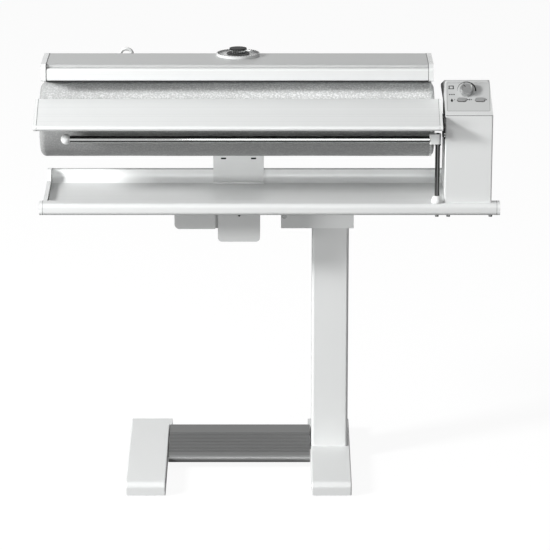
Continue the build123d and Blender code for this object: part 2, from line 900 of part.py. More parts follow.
joint_span = (left_housing_right, deep_housing_left)
joint_front = housing_front + housing_joint_recess
lift_rod_z = heater_pivot_z - tail_pin_drop
with BuildPart() as lift_housings:
    for left, right, low, corner, rounded in housings:
        with BuildSketch(Plane.XZ.offset(-housing_rear)) as housing_section:
            with Locations(((left + right) / 2, (low + beam_top) / 2)):
                Rectangle(right - left, beam_top - low)
            fillet(low_corners(housing_section, rounded), corner)
        extrude(amount=housing_rear - housing_front)
        with BuildSketch(Plane.XZ.offset(-housing_rear + housing_wall)) as hollow_section:
            with Locations(((left + right) / 2, (low + housing_wall + beam_top) / 2)):
                Rectangle(right - left - 2 * housing_wall, beam_top - low - housing_wall)
            fillet(low_corners(hollow_section, rounded), corner - housing_wall)
        extrude(amount=housing_rear - housing_front - 2 * housing_wall, mode=Mode.SUBTRACT)
    slab(joint_span, (joint_front, housing_rear), (left_housing_low, beam_top))
    slab(
        joint_span, (joint_front + housing_wall, housing_rear - housing_wall),
        (left_housing_low + housing_wall, beam_top), Mode.SUBTRACT,
    )
    rod_y(
        tail_x, (housing_rear - 2 * housing_wall, housing_rear), lift_rod_z,
        lift_rod_radius + slide_gap, Mode.SUBTRACT,
    )
export(lift_housings, "lift_housings")

with BuildPart() as lift_motor:
    motor_box_left = deep_housing_left + housing_wall + slide_gap
    motor_box_low = deep_housing_low + housing_wall
    gear_left = tail_x - lift_rod_radius - lift_motor_gap
    gear_span = (lift_gear_front, lift_gear_back)
    slab(
        (motor_box_left + deep_housing_round, gear_left),
        (housing_front + lift_motor_inset, housing_rear - lift_motor_inset),
        (motor_box_low, motor_box_low + lift_motor_height),
    )
    slab(
        (gear_left, tail_x + lift_rod_radius + lift_gear_wall), gear_span,
        (motor_box_low, lift_rod_z + lift_rod_radius + lift_gear_wall),
    )
    rod_y(tail_x, gear_span, lift_rod_z, lift_rod_radius + run_gap, Mode.SUBTRACT)
export(lift_motor, "lift_motor")

fork_front_y = heater_pivot_y - tail_width / 2 - fork_web_gap - fork_web
fork_rear_y = heater_pivot_y + fork_back
fork_z = (lift_rod_z - fork_low, lift_rod_z + fork_high)
tail_half = tail_thick / 2 + fork_side_gap
with BuildPart() as lift_rod:
    rod_y(tail_x, (lift_rod_end_y, fork_front_y), lift_rod_z, lift_rod_radius)
    slab(
        (tail_x - tail_half - fork_ear, tail_x + tail_half + fork_ear),
        (fork_front_y, fork_front_y + fork_web), fork_z,
    )
    for side in (-1, 1):
        ear = sorted((tail_x + side * tail_half, tail_x + side * (tail_half + fork_ear)))
        slab(ear, (fork_front_y, fork_rear_y), fork_z)
        slab(
            ear,
            (
                heater_pivot_y - tail_pin_radius - slide_gap,
                heater_pivot_y + tail_pin_radius + slide_gap,
            ),
            (lift_rod_z - tail_pin_radius - slide_gap, fork_z[1]),
            Mode.SUBTRACT,
        )
export(lift_rod, "lift_rod")

# -------------------------------------------------- roller
core_radius = cloth_radius - cloth_thick - seat_gap - padding_thick - seat_gap
core_left = roller_left + cloth_thick + core_end_gap
core_right = roller_right - cloth_thick - core_end_gap
with BuildPart() as roller_core:
    rod_x((core_left, core_right), 0, roller_z, core_radius)
    rod_x(
        (core_left + core_disc, core_right - core_disc), 0, roller_z, core_radius - core_wall,
        Mode.SUBTRACT,
    )
    rod_x((core_left, core_right), 0, roller_z, shaft_radius, Mode.SUBTRACT)
export(roller_core, "roller_core")

with BuildPart() as roller_shaft:
    rod_x((core_left, shaft_end_x), 0, roller_z, shaft_radius)
export(roller_shaft, "roller_shaft")

with BuildPart() as roller_padding:
    rod_x((core_left, core_right), 0, roller_z, core_radius + seat_gap + padding_thick)
    fillet(roller_padding.edges().filter_by(GeomType.CIRCLE), padding_round)
    rod_x((core_left, core_right), 0, roller_z, core_radius + seat_gap, Mode.SUBTRACT)
export(roller_padding, "roller_padding")

with BuildPart() as cloth_inside:
    rod_x(
        (roller_left + cloth_thick, roller_right - cloth_thick), 0, roller_z,
        cloth_radius - cloth_thick,
    )
    fillet(cloth_inside.edges().filter_by(GeomType.CIRCLE), cloth_round - cloth_thick)

with BuildPart() as roller_cloth:
    rod_x((roller_left, roller_right), 0, roller_z, cloth_radius)
    fillet(roller_cloth.edges().filter_by(GeomType.CIRCLE), cloth_round)
    add(cloth_inside.part, mode=Mode.SUBTRACT)
    rod_x((roller_left, roller_right), 0, roller_z, cloth_end_hole, Mode.SUBTRACT)
export(roller_cloth, "roller_cloth")

pulley_span = (pulley_left, pulley_left + pulley_width)
belt_span = (pulley_left + pulley_groove, pulley_left + pulley_width - pulley_groove)
with BuildPart() as roller_pulley:
    rod_x(pulley_span, 0, roller_z, pulley_radius + pulley_groove)
    rod_x(belt_span, 0, roller_z, pulley_radius + pulley_groove, Mode.SUBTRACT)
    rod_x(belt_span, 0, roller_z, pulley_radius)
    rod_x(pulley_span, 0, roller_z, shaft_radius, Mode.SUBTRACT)
export(roller_pulley, "roller_pulley")

with BuildPart() as roller_bearings:
    for bearing_left in (body_left + box_sheet, body_right - box_sheet - bearing_length):
        bearing_span = (bearing_left, bearing_left + bearing_length)
        rod_x(bearing_span, 0, roller_z, bearing_radius)
        rod_x(bearing_span, 0, roller_z, shaft_radius + run_gap, Mode.SUBTRACT)
export(roller_bearings, "roller_bearings")

motor_span = (body_left + box_sheet, body_left + box_sheet + motor_length)
with BuildPart() as motor_pulley:
    rod_x(pulley_span, motor_y, motor_z, motor_pulley_radius + pulley_groove)
    rod_x(belt_span, motor_y, motor_z, motor_pulley_radius + pulley_groove, Mode.SUBTRACT)
    rod_x(belt_span, motor_y, motor_z, motor_pulley_radius)
    rod_x((motor_span[0] + motor_shaft_depth, pulley_span[0]), motor_y, motor_z, motor_shaft_radius)
export(motor_pulley, "motor_pulley")

with BuildPart() as drive_motor:
    rod_x(motor_span, motor_y, motor_z, motor_radius)
    rod_x(
        (motor_span[0] + motor_bore_depth, motor_span[1]), motor_y, motor_z,
        motor_shaft_radius + run_gap, Mode.SUBTRACT,
    )
export(drive_motor, "drive_motor")

belt_reach = math.hypot(motor_y, roller_z - motor_z)
belt_tilt = math.atan2(motor_z - roller_z, motor_y)
belt_side = math.acos((pulley_radius - motor_pulley_radius) / belt_reach)


def belt_points(grow):
    """Where the belt's straight runs leave the two pulleys, with its face this far out."""
    places = []
    for side in (1, -1):
        angle = belt_tilt + side * belt_side
        for y, z, radius in (
            (0, roller_z, pulley_radius), (motor_y, motor_z, motor_pulley_radius),
        ):
            reach = radius + grow
            places.append((y + reach * math.cos(angle), z + reach * math.sin(angle)))
    return places


def belt_loop(grow):
    """The closed outline of the belt round both pulleys."""
    top_1, low_1, top_2, low_2 = belt_points(grow)
    far = (
        math.cos(belt_tilt) * (motor_pulley_radius + grow) + motor_y,
        math.sin(belt_tilt) * (motor_pulley_radius + grow) + motor_z,
    )
    near = (
        -math.cos(belt_tilt) * (pulley_radius + grow),
        -math.sin(belt_tilt) * (pulley_radius + grow) + roller_z,
    )
    Line(top_1, low_1)
    ThreePointArc(low_1, far, low_2)
    Line(low_2, top_2)
    ThreePointArc(top_2, near, top_1)


belt_inset = 0.5
with BuildPart() as drive_belt:
    with BuildSketch(Plane.YZ.offset(belt_span[0] + belt_inset)):
        with BuildLine():
            belt_loop(belt_gap + belt_thick)
        make_face()
        with BuildLine():
            belt_loop(belt_gap)
        make_face(mode=Mode.SUBTRACT)
    extrude(amount=belt_span[1] - belt_span[0] - 2 * belt_inset)
export(drive_belt, "drive_belt")

# -------------------------------------------------- heater: shoe, elements and arm
shoe_inner = cloth_radius + shoe_gap
shoe_outer = shoe_inner + shoe_thick
shoe_left = heater_left + heater_cap
shoe_right = heater_right - heater_cap
shoe_mid_angle = (shoe_front_angle + shoe_rear_angle) / 2
lip_in = polar(shoe_inner, shoe_front_angle)
lip_out = polar(shoe_outer, shoe_front_angle)
with BuildPart() as heater_shoe:
    with BuildSketch(Plane.YZ.offset(shoe_left)):
        with BuildLine():
            ThreePointArc(
                polar(shoe_inner, shoe_rear_angle), polar(shoe_inner, shoe_mid_angle), lip_in,
            )
            Polyline(
                lip_in,
                (shoe_lip_y, shoe_lip_z),
                (shoe_lip_y, shoe_lip_z + shoe_thick),
                lip_out,
            )
            ThreePointArc(
                lip_out, polar(shoe_outer, shoe_mid_angle), polar(shoe_outer, shoe_rear_angle),
            )
            Line(polar(shoe_outer, shoe_rear_angle), polar(shoe_inner, shoe_rear_angle))
        make_face()
    extrude(amount=shoe_right - shoe_left)
export(heater_shoe, "heater_shoe")

element_ring = shoe_outer + seat_gap + element_radius
with BuildPart() as heating_elements:
    for angle in element_angles:
        element_y, element_z = polar(element_ring, angle)
        rod_x(
            (shoe_left + element_inset, shoe_right - element_inset), element_y, element_z,
            element_radius,
        )
export(heating_elements, "heating_elements")

with BuildPart() as heater_arm:
    for plate_left in (arm_left, arm_right - arm_plate):
        with BuildSketch(Plane.YZ.offset(plate_left)):
            with BuildLine():
                Polyline(
                    (heater_pivot_y - heater_hub_radius, heater_pivot_z),
                    (arm_front, arm_bend_z),
                    (arm_front, arm_top),
                    (arm_back, arm_top),
                    (arm_back, arm_bend_z),
                    (heater_pivot_y + heater_hub_radius, heater_pivot_z),
                    close=True,
                )
            make_face()
        extrude(amount=arm_plate)
    for level in (roller_z, arm_top - 2 * arm_plate):
        slab((arm_left, arm_right), (arm_front, arm_back), (level, level + arm_plate))
    rod_x(
        (support_left + support_sheet + side_gap, support_right - support_sheet - side_gap),
        heater_pivot_y, heater_pivot_z, heater_hub_radius,
    )
    rod_x((support_left, support_right), heater_pivot_y, heater_pivot_z, heater_pin_radius)
    slab(
        (tail_x - tail_thick / 2, tail_x + tail_thick / 2),
        (heater_pivot_y - tail_width / 2, heater_pivot_y + tail_width / 2),
        (lift_rod_z - tail_end, heater_pivot_z),
    )
    rod_x(
        (tail_x - tail_pin_length / 2, tail_x + tail_pin_length / 2), heater_pivot_y, lift_rod_z,
        tail_pin_radius,
    )
export(heater_arm, "heater_arm")

# -------------------------------------------------- heater: cover, end caps and guard
cover_run = cover_back_y - cover_front_y - cover_sheet / 2
cover_tilt = math.atan2(cover_front_z - cover_back_z, cover_run)


def cover_top(y):
    """Height of the cover's upper face."""
    return cover_back_z + (cover_back_y - y) * math.tan(cover_tilt)


with BuildPart() as heater_cover:
    with BuildSketch(Plane.YZ.offset(shoe_left)):
        with BuildLine():
            FilletPolyline(
                (cover_front_y + cover_sheet / 2, cover_lip_low),
                (cover_front_y + cover_sheet / 2, cover_front_z - cover_sheet / 2),
                (cover_back_y, cover_back_z - cover_sheet / 2),
                (cover_rear_y - cover_sheet / 2, cover_shoulder_z),
                (cover_rear_y - cover_sheet / 2, cover_low_z),
                radius=(cover_front_round, cover_shoulder_round, cover_shoulder_round),
            )
            offset(amount=cover_sheet / 2, kind=Kind.INTERSECTION)
        make_face()
    extrude(amount=shoe_right - shoe_left)
    rod_z(
        dial_x, dial_y,
        (cover_top(dial_y) - cover_hole_half, cover_top(dial_y) + cover_hole_half),
        neck_radius + seat_gap, Mode.SUBTRACT,
    )
export(heater_cover, "heater_cover")

cap_clear = shoe_inner + shoe_gap
with BuildPart() as heater_caps:
    for cap_left in (heater_left, heater_right - heater_cap):
        with BuildSketch(Plane.YZ.offset(cap_left)):
            with BuildLine():
                FilletPolyline(
                    polar(cap_clear, shoe_front_angle),
                    (shoe_lip_y, guard_low - cap_chin),
                    (guard_front - cap_proud, guard_low - 2 * cap_proud),
                    (guard_front - cap_proud, guard_high + cap_proud),
                    (cover_front_y, cover_front_z + cap_proud),
                    (cover_back_y, cover_back_z + cap_proud),
                    (cover_rear_y + cap_proud, cover_shoulder_z),
                    (cover_rear_y + cap_proud, cover_low_z),
                    polar(cap_clear, shoe_rear_angle),
                    radius=(
                        cap_corner, cap_front_corner, cap_front_corner, cap_corner,
                        cover_shoulder_round, cover_shoulder_round, cap_rear_corner,
                    ),
                )
                ThreePointArc(
                    polar(cap_clear, shoe_rear_angle), polar(cap_clear, shoe_mid_angle),
                    polar(cap_clear, shoe_front_angle),
                )
            make_face()
        extrude(amount=heater_cap)
        rod_x(
            (cap_left, cap_left + heater_cap), guard_hinge_y, guard_hinge_z,
            guard_pin_radius + run_gap, Mode.SUBTRACT,
        )
export(heater_caps, "heater_caps")

with BuildPart() as finger_guard:
    guard_span = (shoe_left + side_gap, shoe_right - side_gap)
    with BuildSketch(Plane.YZ.offset(guard_span[0])) as guard_section:
        with Locations(((guard_front + guard_back) / 2, (guard_low + guard_high) / 2)):
            Rectangle(guard_back - guard_front, guard_high - guard_low)
        fillet(guard_section.vertices().group_by(Axis.X)[0], guard_round)
    extrude(amount=guard_span[1] - guard_span[0])
    slab(
        guard_span, (guard_front + guard_wall, guard_back - guard_wall),
        (guard_low + guard_round, guard_hinge_z - guard_pin_radius - guard_wall), Mode.SUBTRACT,
    )
    rod_x(
        (guard_span[0] - guard_pin, guard_span[1] + guard_pin), guard_hinge_y, guard_hinge_z,
        guard_pin_radius,
    )
export(finger_guard, "finger_guard")

# -------------------------------------------------- heater: water tank, dial and steam knob
dial_plane = Plane(
    origin=(dial_x, dial_y, cover_top(dial_y) + run_gap),
    x_dir=(1, 0, 0),
    z_dir=(0, math.sin(cover_tilt), math.cos(cover_tilt)),
)
with BuildPart() as water_tank:
    slab((tank_left, tank_right), (tank_front, tank_back), (tank_low, tank_high))
    slab(
        (tank_left + tank_wall, tank_right - tank_wall),
        (tank_front + tank_wall, tank_back - tank_wall),
        (tank_low + tank_wall, tank_high - tank_wall),
        Mode.SUBTRACT,
    )
    neck_span = (tank_high - tank_wall, cover_top(dial_y) - neck_drop)
    rod_z(dial_x, dial_y, neck_span, neck_radius)
    rod_z(dial_x, dial_y, neck_span, neck_radius - tank_wall, Mode.SUBTRACT)
export(water_tank, "water_tank")

with BuildPart() as steam_dial:
    with BuildSketch(dial_plane):
        Circle(dial_radius)
        Circle(steam_stem_radius + run_gap, mode=Mode.SUBTRACT)
    extrude(amount=dial_thick)
    with BuildSketch(dial_plane):
        Circle(dial_radius)
        Circle(dial_radius - collar_width, mode=Mode.SUBTRACT)
    extrude(amount=collar_height)
    rims = steam_dial.edges().filter_by(GeomType.CIRCLE).sort_by(SortBy.LENGTH)[-2:]
    chamfer(rims.sort_by(Axis.Z)[-1], collar_edge)
export(steam_dial, "steam_dial")

knob_seat = dial_thick + slide_gap
with BuildPart() as steam_knob:
    with BuildSketch(dial_plane.offset(-dial_thick)):
        Circle(steam_stem_radius)
    extrude(amount=knob_seat + dial_thick)
    with BuildSketch(dial_plane.offset(knob_seat)):
        Circle(steam_base_radius)
    extrude(amount=steam_base)
    with BuildSketch(dial_plane.offset(knob_seat + steam_base)):
        Circle(steam_body_radius)
        with PolarLocations(steam_body_radius, steam_flutes):
            Circle(steam_flute_radius)
    extrude(amount=steam_body)
    with BuildSketch(dial_plane.offset(knob_seat + steam_base + steam_body)):
        Circle(steam_cap_radius)
    extrude(amount=steam_cap)
export(steam_knob, "steam_knob")

with BuildPart() as cable_hook:
    with BuildLine():
        FilletPolyline(
            (hook_left, hook_y, hook_low), (hook_left, hook_y, hook_high),
            (hook_right, hook_y, hook_high), (hook_right, hook_y, hook_high - hook_tip_drop),
            radius=hook_round,
        )
    with BuildSketch(Plane(origin=(hook_left, hook_y, hook_low), z_dir=(0, 0, 1))):
        Circle(hook_wire)
    sweep()
    slab(
        (hook_left - hook_foot_half, hook_left + hook_foot_half), (cover_rear_y, hook_y),
        (hook_low - hook_foot_rise, hook_low + hook_foot_rise),
    )
export(cable_hook, "cable_hook")

# -------------------------------------------------- control box: front, body and head
with BuildPart() as box_front_cover:
    slab((box_left, box_right), (box_front, fascia_rear), (fascia_top, box_top))
    fillet(box_front_cover.edges().filter_by(Axis.Z).group_by(Axis.Y)[0], box_edge_round)
    rear_face = box_front_cover.faces().sort_by(Axis.Y)[-1]
    offset(amount=-box_sheet, openings=rear_face)
export(box_front_cover, "box_front")

with BuildPart() as box_body:
    slab((body_left, body_right), (fascia_rear, box_rear), (beam_top, box_top))
    slab(
        (body_left + box_sheet, body_right - box_sheet), (fascia_rear, box_rear - box_sheet),
        (beam_top + box_sheet, box_top), Mode.SUBTRACT,
    )
    rod_x(
        (body_left, body_left + box_sheet), 0, roller_z, shaft_radius + shaft_hole_gap,
        Mode.SUBTRACT,
    )
    rod_y(
        gland_x, (box_rear - box_sheet, box_rear), gland_z, gland_neck_radius, Mode.SUBTRACT,
    )
export(box_body, "box_body")

head_slope = math.atan2(head_crest_z - box_top, head_crest_y - box_front)
panel_plane = Plane(
    origin=(0, box_front, box_top),
    x_dir=(1, 0, 0),
    z_dir=(0, -math.sin(head_slope), math.cos(head_slope)),
)
panel_mid_x = (panel_left + panel_right) / 2
panel_mid_up = (panel_low + panel_high) / 2
buttons = (
    ("left_button", left_button_x, left_button_width),
    ("right_button", right_button_x, right_button_width),
)


def head_outline():
    """The control head's section: a sloped panel in front of a long roof that falls to the rear."""
    FilletPolyline(
        (box_front, box_top), (head_crest_y, head_crest_z),
        (head_crest_y + head_crest_flat, head_crest_z), (box_rear, head_rear_z),
        (box_rear, box_top), close=True,
        radius=(
            head_seam_corner, head_corner, head_corner, head_rear_corner, head_seam_corner,
        ),
    )


def head_front(inset):
    """The head's outline from the front: one leaning side and rounded upper corners."""
    FilletPolyline(
        (box_left + inset, box_top - head_side_corner),
        (box_left + inset, head_crest_z - inset),
        (box_right - head_lean - inset, head_crest_z - inset),
        (box_right - inset, box_top),
        (box_right - inset, box_top - head_side_corner),
        close=True,
        radius=(
            head_seam_corner, head_side_corner - inset, head_side_corner - inset,
            head_seam_corner, head_seam_corner,
        ),
    )


with BuildPart() as head_inside:
    with BuildSketch(Plane.YZ.offset(box_left)):
        with BuildLine():
            head_outline()
        make_face()
        offset(amount=-box_sheet, mode=Mode.REPLACE)
    extrude(amount=box_right - box_left)
    with BuildSketch(Plane.XZ.offset(-box_rear - head_side_corner)):
        with BuildLine():
            head_front(box_sheet)
        make_face()
    extrude(amount=box_rear - box_front + 2 * head_side_corner, mode=Mode.INTERSECT)

stem_hole = knob_stem_radius + run_gap
with BuildPart() as control_head:
    with BuildSketch(Plane.YZ.offset(box_left)):
        with BuildLine():
            head_outline()
        make_face()
    extrude(amount=box_right - box_left)
    with BuildSketch(Plane.XZ.offset(-box_rear - head_side_corner)):
        with BuildLine():
            head_front(0)
        make_face()
    extrude(amount=box_rear - box_front + 2 * head_side_corner, mode=Mode.INTERSECT)
    add(head_inside.part, mode=Mode.SUBTRACT)
    slab(
        (body_left + head_floor_lip, body_right - head_floor_lip),
        (box_front + head_floor_lip, box_rear - head_floor_lip),
        (box_top - box_sheet, box_top + 2 * box_sheet), Mode.SUBTRACT,
    )
    with BuildSketch(panel_plane):
        with Locations((panel_mid_x, panel_mid_up)):
            RectangleRounded(
                panel_right - panel_left + 2 * seat_gap, panel_high - panel_low + 2 * seat_gap,
                panel_corner,
            )
    extrude(amount=-panel_sheet, mode=Mode.SUBTRACT)
    with BuildSketch(panel_plane):
        with Locations((knob_x, knob_up)):
            Circle(stem_hole)
        for _, button_x, button_width in buttons:
            with Locations((button_x, button_up)):
                SlotOverall(button_width + 2 * slide_gap, button_height + 2 * slide_gap)
    extrude(amount=-2 * box_sheet, mode=Mode.SUBTRACT)
export(control_head, "control_head")

with BuildPart() as panel_plate:
    with BuildSketch(panel_plane.offset(-panel_sheet)):
        with Locations((panel_mid_x, panel_mid_up)):
            RectangleRounded(panel_right - panel_left, panel_high - panel_low, panel_corner)
        with Locations((knob_x, knob_up)):
            Circle(stem_hole, mode=Mode.SUBTRACT)
        for _, button_x, button_width in buttons:
            with Locations((button_x, button_up)):
                SlotOverall(
                    button_width + 2 * slide_gap, button_height + 2 * slide_gap,
                    mode=Mode.SUBTRACT,
                )
    extrude(amount=panel_sheet)
export(panel_plate, "panel_plate")

with BuildPart() as temperature_knob:
    with BuildSketch(panel_plane.offset(-knob_stem)):
        with Locations((knob_x, knob_up)):
            Circle(knob_stem_radius)
    extrude(amount=knob_stem + slide_gap)
    with BuildSketch(panel_plane.offset(slide_gap)):
        with Locations((knob_x, knob_up)):
            Circle(knob_radius)
    extrude(amount=knob_skirt)
    with BuildSketch(panel_plane.offset(slide_gap + knob_skirt)):
        with Locations((knob_x, knob_up)):
            Circle(knob_radius - knob_step)
    extrude(amount=knob_height - knob_skirt, taper=knob_taper)
export(temperature_knob, "temperature_knob")

for name, button_x, button_width in buttons:
    with BuildPart() as button:
        with BuildSketch(panel_plane.offset(-button_depth)):
            with Locations((button_x, button_up)):
                SlotOverall(button_width, button_height)
        extrude(amount=button_depth + button_proud)
    export(button, name)

with BuildPart() as mains_gland:
    rod_y(gland_x, (box_rear, box_rear + gland_length), gland_z, gland_radius)
    rod_y(gland_x, (box_rear - box_sheet, box_rear), gland_z, gland_neck_radius - seat_gap)
    rod_y(
        gland_x, (box_rear - box_sheet, box_rear + gland_length), gland_z, gland_bore,
        Mode.SUBTRACT,
    )
export(mains_gland, "mains_gland")

# -------------------------------------------------- head: screws
with BuildPart() as head_screws:
    for x in leveller_places:
        rod_z(
            x, fascia_rear - leveller_inset, (fascia_bottom - leveller_height, fascia_bottom),
            leveller_radius,
        )
export(head_screws, "head_screws")

# -------------------------------------------------- feed board on its hinge block
def board_outline():
    """The feed board's section: a blunt rounded nose in front and a thin rear lip."""
    ThreePointArc(
        (board_low_y, board_low_z), (board_nose_y, board_nose_z), (board_top_y, board_top_z),
    )
    Polyline(
        (board_top_y, board_top_z), (board_rear_y, board_rear_z),
        (board_rear_y, board_rear_z - board_rear_thick), (board_low_y, board_low_z),
    )


board_rise = (board_rear_z - board_top_z) / (board_rear_y - board_top_y)
board_fall = (board_rear_z - board_rear_thick - board_low_z) / (board_rear_y - board_low_y)


def board_upper(y):
    """Height of the board's upper face."""
    return board_top_z + (y - board_top_y) * board_rise


def board_lower(y):
    """Height of the board's lower face."""
    return board_low_z + (y - board_low_y) * board_fall


with BuildPart() as feed_board:
    with BuildSketch(Plane.YZ.offset(board_left + board_cap)):
        with BuildLine():
            board_outline()
        make_face()
        with BuildLine():
            Polyline(
                (board_low_y, board_lower(board_low_y) + board_wall),
                (board_low_y, board_upper(board_low_y) - board_wall),
                (board_hollow_rear, board_upper(board_hollow_rear) - board_wall),
                (board_hollow_rear, board_lower(board_hollow_rear) + board_wall),
                close=True,
            )
        make_face(mode=Mode.SUBTRACT)
    extrude(amount=board_right - board_left - 2 * board_cap)
export(feed_board, "feed_board")

with BuildPart() as board_caps:
    for cap_left in (board_left, board_right - board_cap):
        with BuildSketch(Plane.YZ.offset(cap_left)):
            with BuildLine():
                board_outline()
            make_face()
        extrude(amount=board_cap)
export(board_caps, "board_caps")

arm_pin = board_pin_radius + run_gap
with BuildPart() as board_arm:
    with BuildSketch(Plane.YZ.offset(board_right)):
        with Locations((board_hinge_y, board_hinge_z)):
            Circle(board_arm_radius)
        with BuildLine():
            Polyline(
                (board_hinge_y - board_arm_radius, board_hinge_z),
                (board_hinge_y - board_arm_radius, board_upper(board_hinge_y) - board_arm_inset),
                (board_hinge_y + 2 * board_arm_radius, board_upper(board_hinge_y) + board_arm_lap),
                (board_hinge_y + board_arm_radius, board_hinge_z),
                close=True,
            )
        make_face()
        with Locations((board_hinge_y, board_hinge_z)):
            Circle(arm_pin, mode=Mode.SUBTRACT)
    extrude(amount=board_arm_thick)
export(board_arm, "board_arm")

block_left = board_right + board_arm_thick + slide_gap
block_low = board_hinge_z - board_block_height / 2
with BuildPart() as board_pivot_block:
    slab(
        (block_left, box_left),
        (board_hinge_y - board_block_depth / 2, board_hinge_y + board_block_depth / 2),
        (block_low, block_low + board_block_height),
    )
    rod_x((board_right + seat_gap, box_left), board_hinge_y, board_hinge_z, board_pin_radius)
    for end in (-1, 1):
        rod_y(
            (block_left + box_left) / 2,
            (
                board_hinge_y - board_block_depth / 2 - screw_head,
                board_hinge_y - board_block_depth / 2,
            ),
            board_hinge_z + end * screw_spread,
            screw_radius,
        )
export(board_pivot_block, "board_pivot_block")

# -------------------------------------------------- laundry rail
knuckle_top = hang_z + knuckle_rise
knuckle_low = knuckle_top - knuckle_height
foot_top_z = fascia_top + post_foot_height
foot_mouth_x = post_x + post_radius + post_foot_mouth
with BuildPart() as rail_foot:
    with BuildSketch(Plane.XZ.offset(-post_y)):
        with BuildLine():
            Polyline(
                (post_x, fascia_top), (post_x + post_foot_radius, fascia_top),
                (post_x + post_foot_radius, fascia_top + post_foot_edge),
            )
            ThreePointArc(
                (post_x + post_foot_radius, fascia_top + post_foot_edge),
                (
                    post_x + post_foot_radius * post_foot_shoulder_out,
                    fascia_top + post_foot_height * post_foot_shoulder_up,
                ),
                (foot_mouth_x, foot_top_z),
            )
            Polyline(
                (foot_mouth_x, foot_top_z), (post_x, foot_top_z),
                (post_x, fascia_top),
            )
        make_face()
    revolve(axis=Axis((post_x, post_y, 0), (0, 0, 1)))
    rod_z(post_x, post_y, (fascia_top, foot_top_z), post_radius, Mode.SUBTRACT)
export(rail_foot, "rail_foot")

with BuildPart() as rail_post:
    rod_z(
        post_x, post_y, (fascia_top, knuckle_top - knuckle_cap - post_top_gap), post_radius,
    )
    rod_z(
        post_x, post_y,
        (knuckle_low - slide_gap - post_collar_height, knuckle_low - slide_gap),
        post_radius + post_collar,
    )
export(rail_post, "rail_post")

knuckle_left = post_x - knuckle_reach
with BuildPart() as rail_knuckle:
    rod_z(post_x, post_y, (knuckle_low, knuckle_top), knuckle_radius)
    slab(
        (knuckle_left, post_x), (post_y - knuckle_radius, post_y + knuckle_radius),
        (knuckle_low, knuckle_top),
    )
    fillet(rail_knuckle.edges().filter_by(Axis.Z).group_by(Axis.X)[0], knuckle_round)
    rod_z(
        post_x, post_y, (knuckle_low, knuckle_top - knuckle_cap), post_radius + run_gap,
        Mode.SUBTRACT,
    )
export(rail_knuckle, "rail_knuckle")

ball_x = hang_left - math.sqrt(ball_radius ** 2 - hang_radius ** 2)
with BuildPart() as rail_rod:
    with Locations((ball_x, post_y, hang_z)):
        Sphere(ball_radius)
    rod_x((hang_left, ball_x + 2 * ball_radius), post_y, hang_z, 2 * ball_radius, Mode.SUBTRACT)
    rod_x((hang_left, knuckle_left), post_y, hang_z, hang_radius)
    rod_x((hang_left, knuckle_left), post_y, hang_z, hang_radius - hang_wall, Mode.SUBTRACT)
export(rail_rod, "rail_rod")
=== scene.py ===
import math

import bmesh
import bpy
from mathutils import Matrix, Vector


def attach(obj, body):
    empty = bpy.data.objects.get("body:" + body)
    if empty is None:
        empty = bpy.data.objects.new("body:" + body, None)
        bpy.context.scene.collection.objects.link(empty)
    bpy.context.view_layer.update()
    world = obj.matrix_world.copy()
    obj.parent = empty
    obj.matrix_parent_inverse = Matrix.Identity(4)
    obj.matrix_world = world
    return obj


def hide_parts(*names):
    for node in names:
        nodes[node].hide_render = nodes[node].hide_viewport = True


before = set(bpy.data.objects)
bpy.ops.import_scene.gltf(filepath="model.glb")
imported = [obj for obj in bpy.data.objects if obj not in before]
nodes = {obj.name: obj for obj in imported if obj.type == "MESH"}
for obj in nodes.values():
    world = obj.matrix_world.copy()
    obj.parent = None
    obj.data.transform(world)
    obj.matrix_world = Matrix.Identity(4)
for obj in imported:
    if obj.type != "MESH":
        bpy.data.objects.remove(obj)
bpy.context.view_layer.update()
mm = 0.001

# ------------------------------------------------------------------ the studio
# A plain white studio seen through a long lens: a strong lamp at the left with a low soft
# one beside it, weak ones in front, overhead and at the right, and an even pale surround.
# The floor and the surround are white to the camera and give less light than they show.


class Shade:
    """A value in a node tree. Sums of shades add their own Math nodes."""

    def __init__(self, tree, socket):
        self.tree = tree
        self.socket = socket

    def combine(self, operation, left, right):
        return self.tree.node("ShaderNodeMath", {"operation": operation}, {0: left, 1: right})

    def __add__(self, other):
        return self.combine("ADD", self, other)

    __radd__ = __add__

    def __mul__(self, other):
        return self.combine("MULTIPLY", self, other)

    __rmul__ = __mul__

    def __sub__(self, other):
        return self.combine("SUBTRACT", self, other)

    def __rsub__(self, other):
        return self.combine("SUBTRACT", other, self)

    def most(self, other):
        return self.combine("MAXIMUM", self, other)

    def between(self, low, high):
        """0 up to the low value, 1 from the high value on, and a straight ramp between."""
        return self.tree.node("ShaderNodeMapRange", {}, {0: self, 1: low, 2: high})

    def near(self, middle, reach):
        """1 at a value, falling to 0 at this distance from it."""
        away = self.tree.node("ShaderNodeMath", {"operation": "ABSOLUTE"}, {0: self - middle})
        return away.between(reach, 0.0)


class NodeTree:
    """A node tree that is filled one node at a time."""

    def __init__(self, tree):
        self.tree = tree
        self.tree.nodes.clear()

    def node(self, kind, settings=None, inputs=None, output=0):
        """One node, from its type, its settings and the values or shades of its sockets."""
        made = self.tree.nodes.new(kind)
        for name, value in (settings or {}).items():
            setattr(made, name, value)
        for place, value in (inputs or {}).items():
            if isinstance(value, Shade):
                self.tree.links.new(value.socket, made.inputs[place])
            else:
                made.inputs[place].default_value = value
        return Shade(self, made.outputs[output]) if made.outputs else None

    def blend(self, amount, first, second):
        """A colour between two colours."""
        return self.node(
            "ShaderNodeMix", {"data_type": "RGBA"}, {0: amount, 6: first, 7: second}, output=2
        )

    def part_of(self, vector, axis):
        """One component of a vector."""
        return self.node("ShaderNodeSeparateXYZ", {}, {0: vector}, output=axis)

    def rays(self, kind):
        """1 for rays of this kind, else 0."""
        return self.node("ShaderNodeLightPath", output=kind)


def grey(value):
    """A neutral linear grey with alpha."""
    return (value, value, value, 1.0)


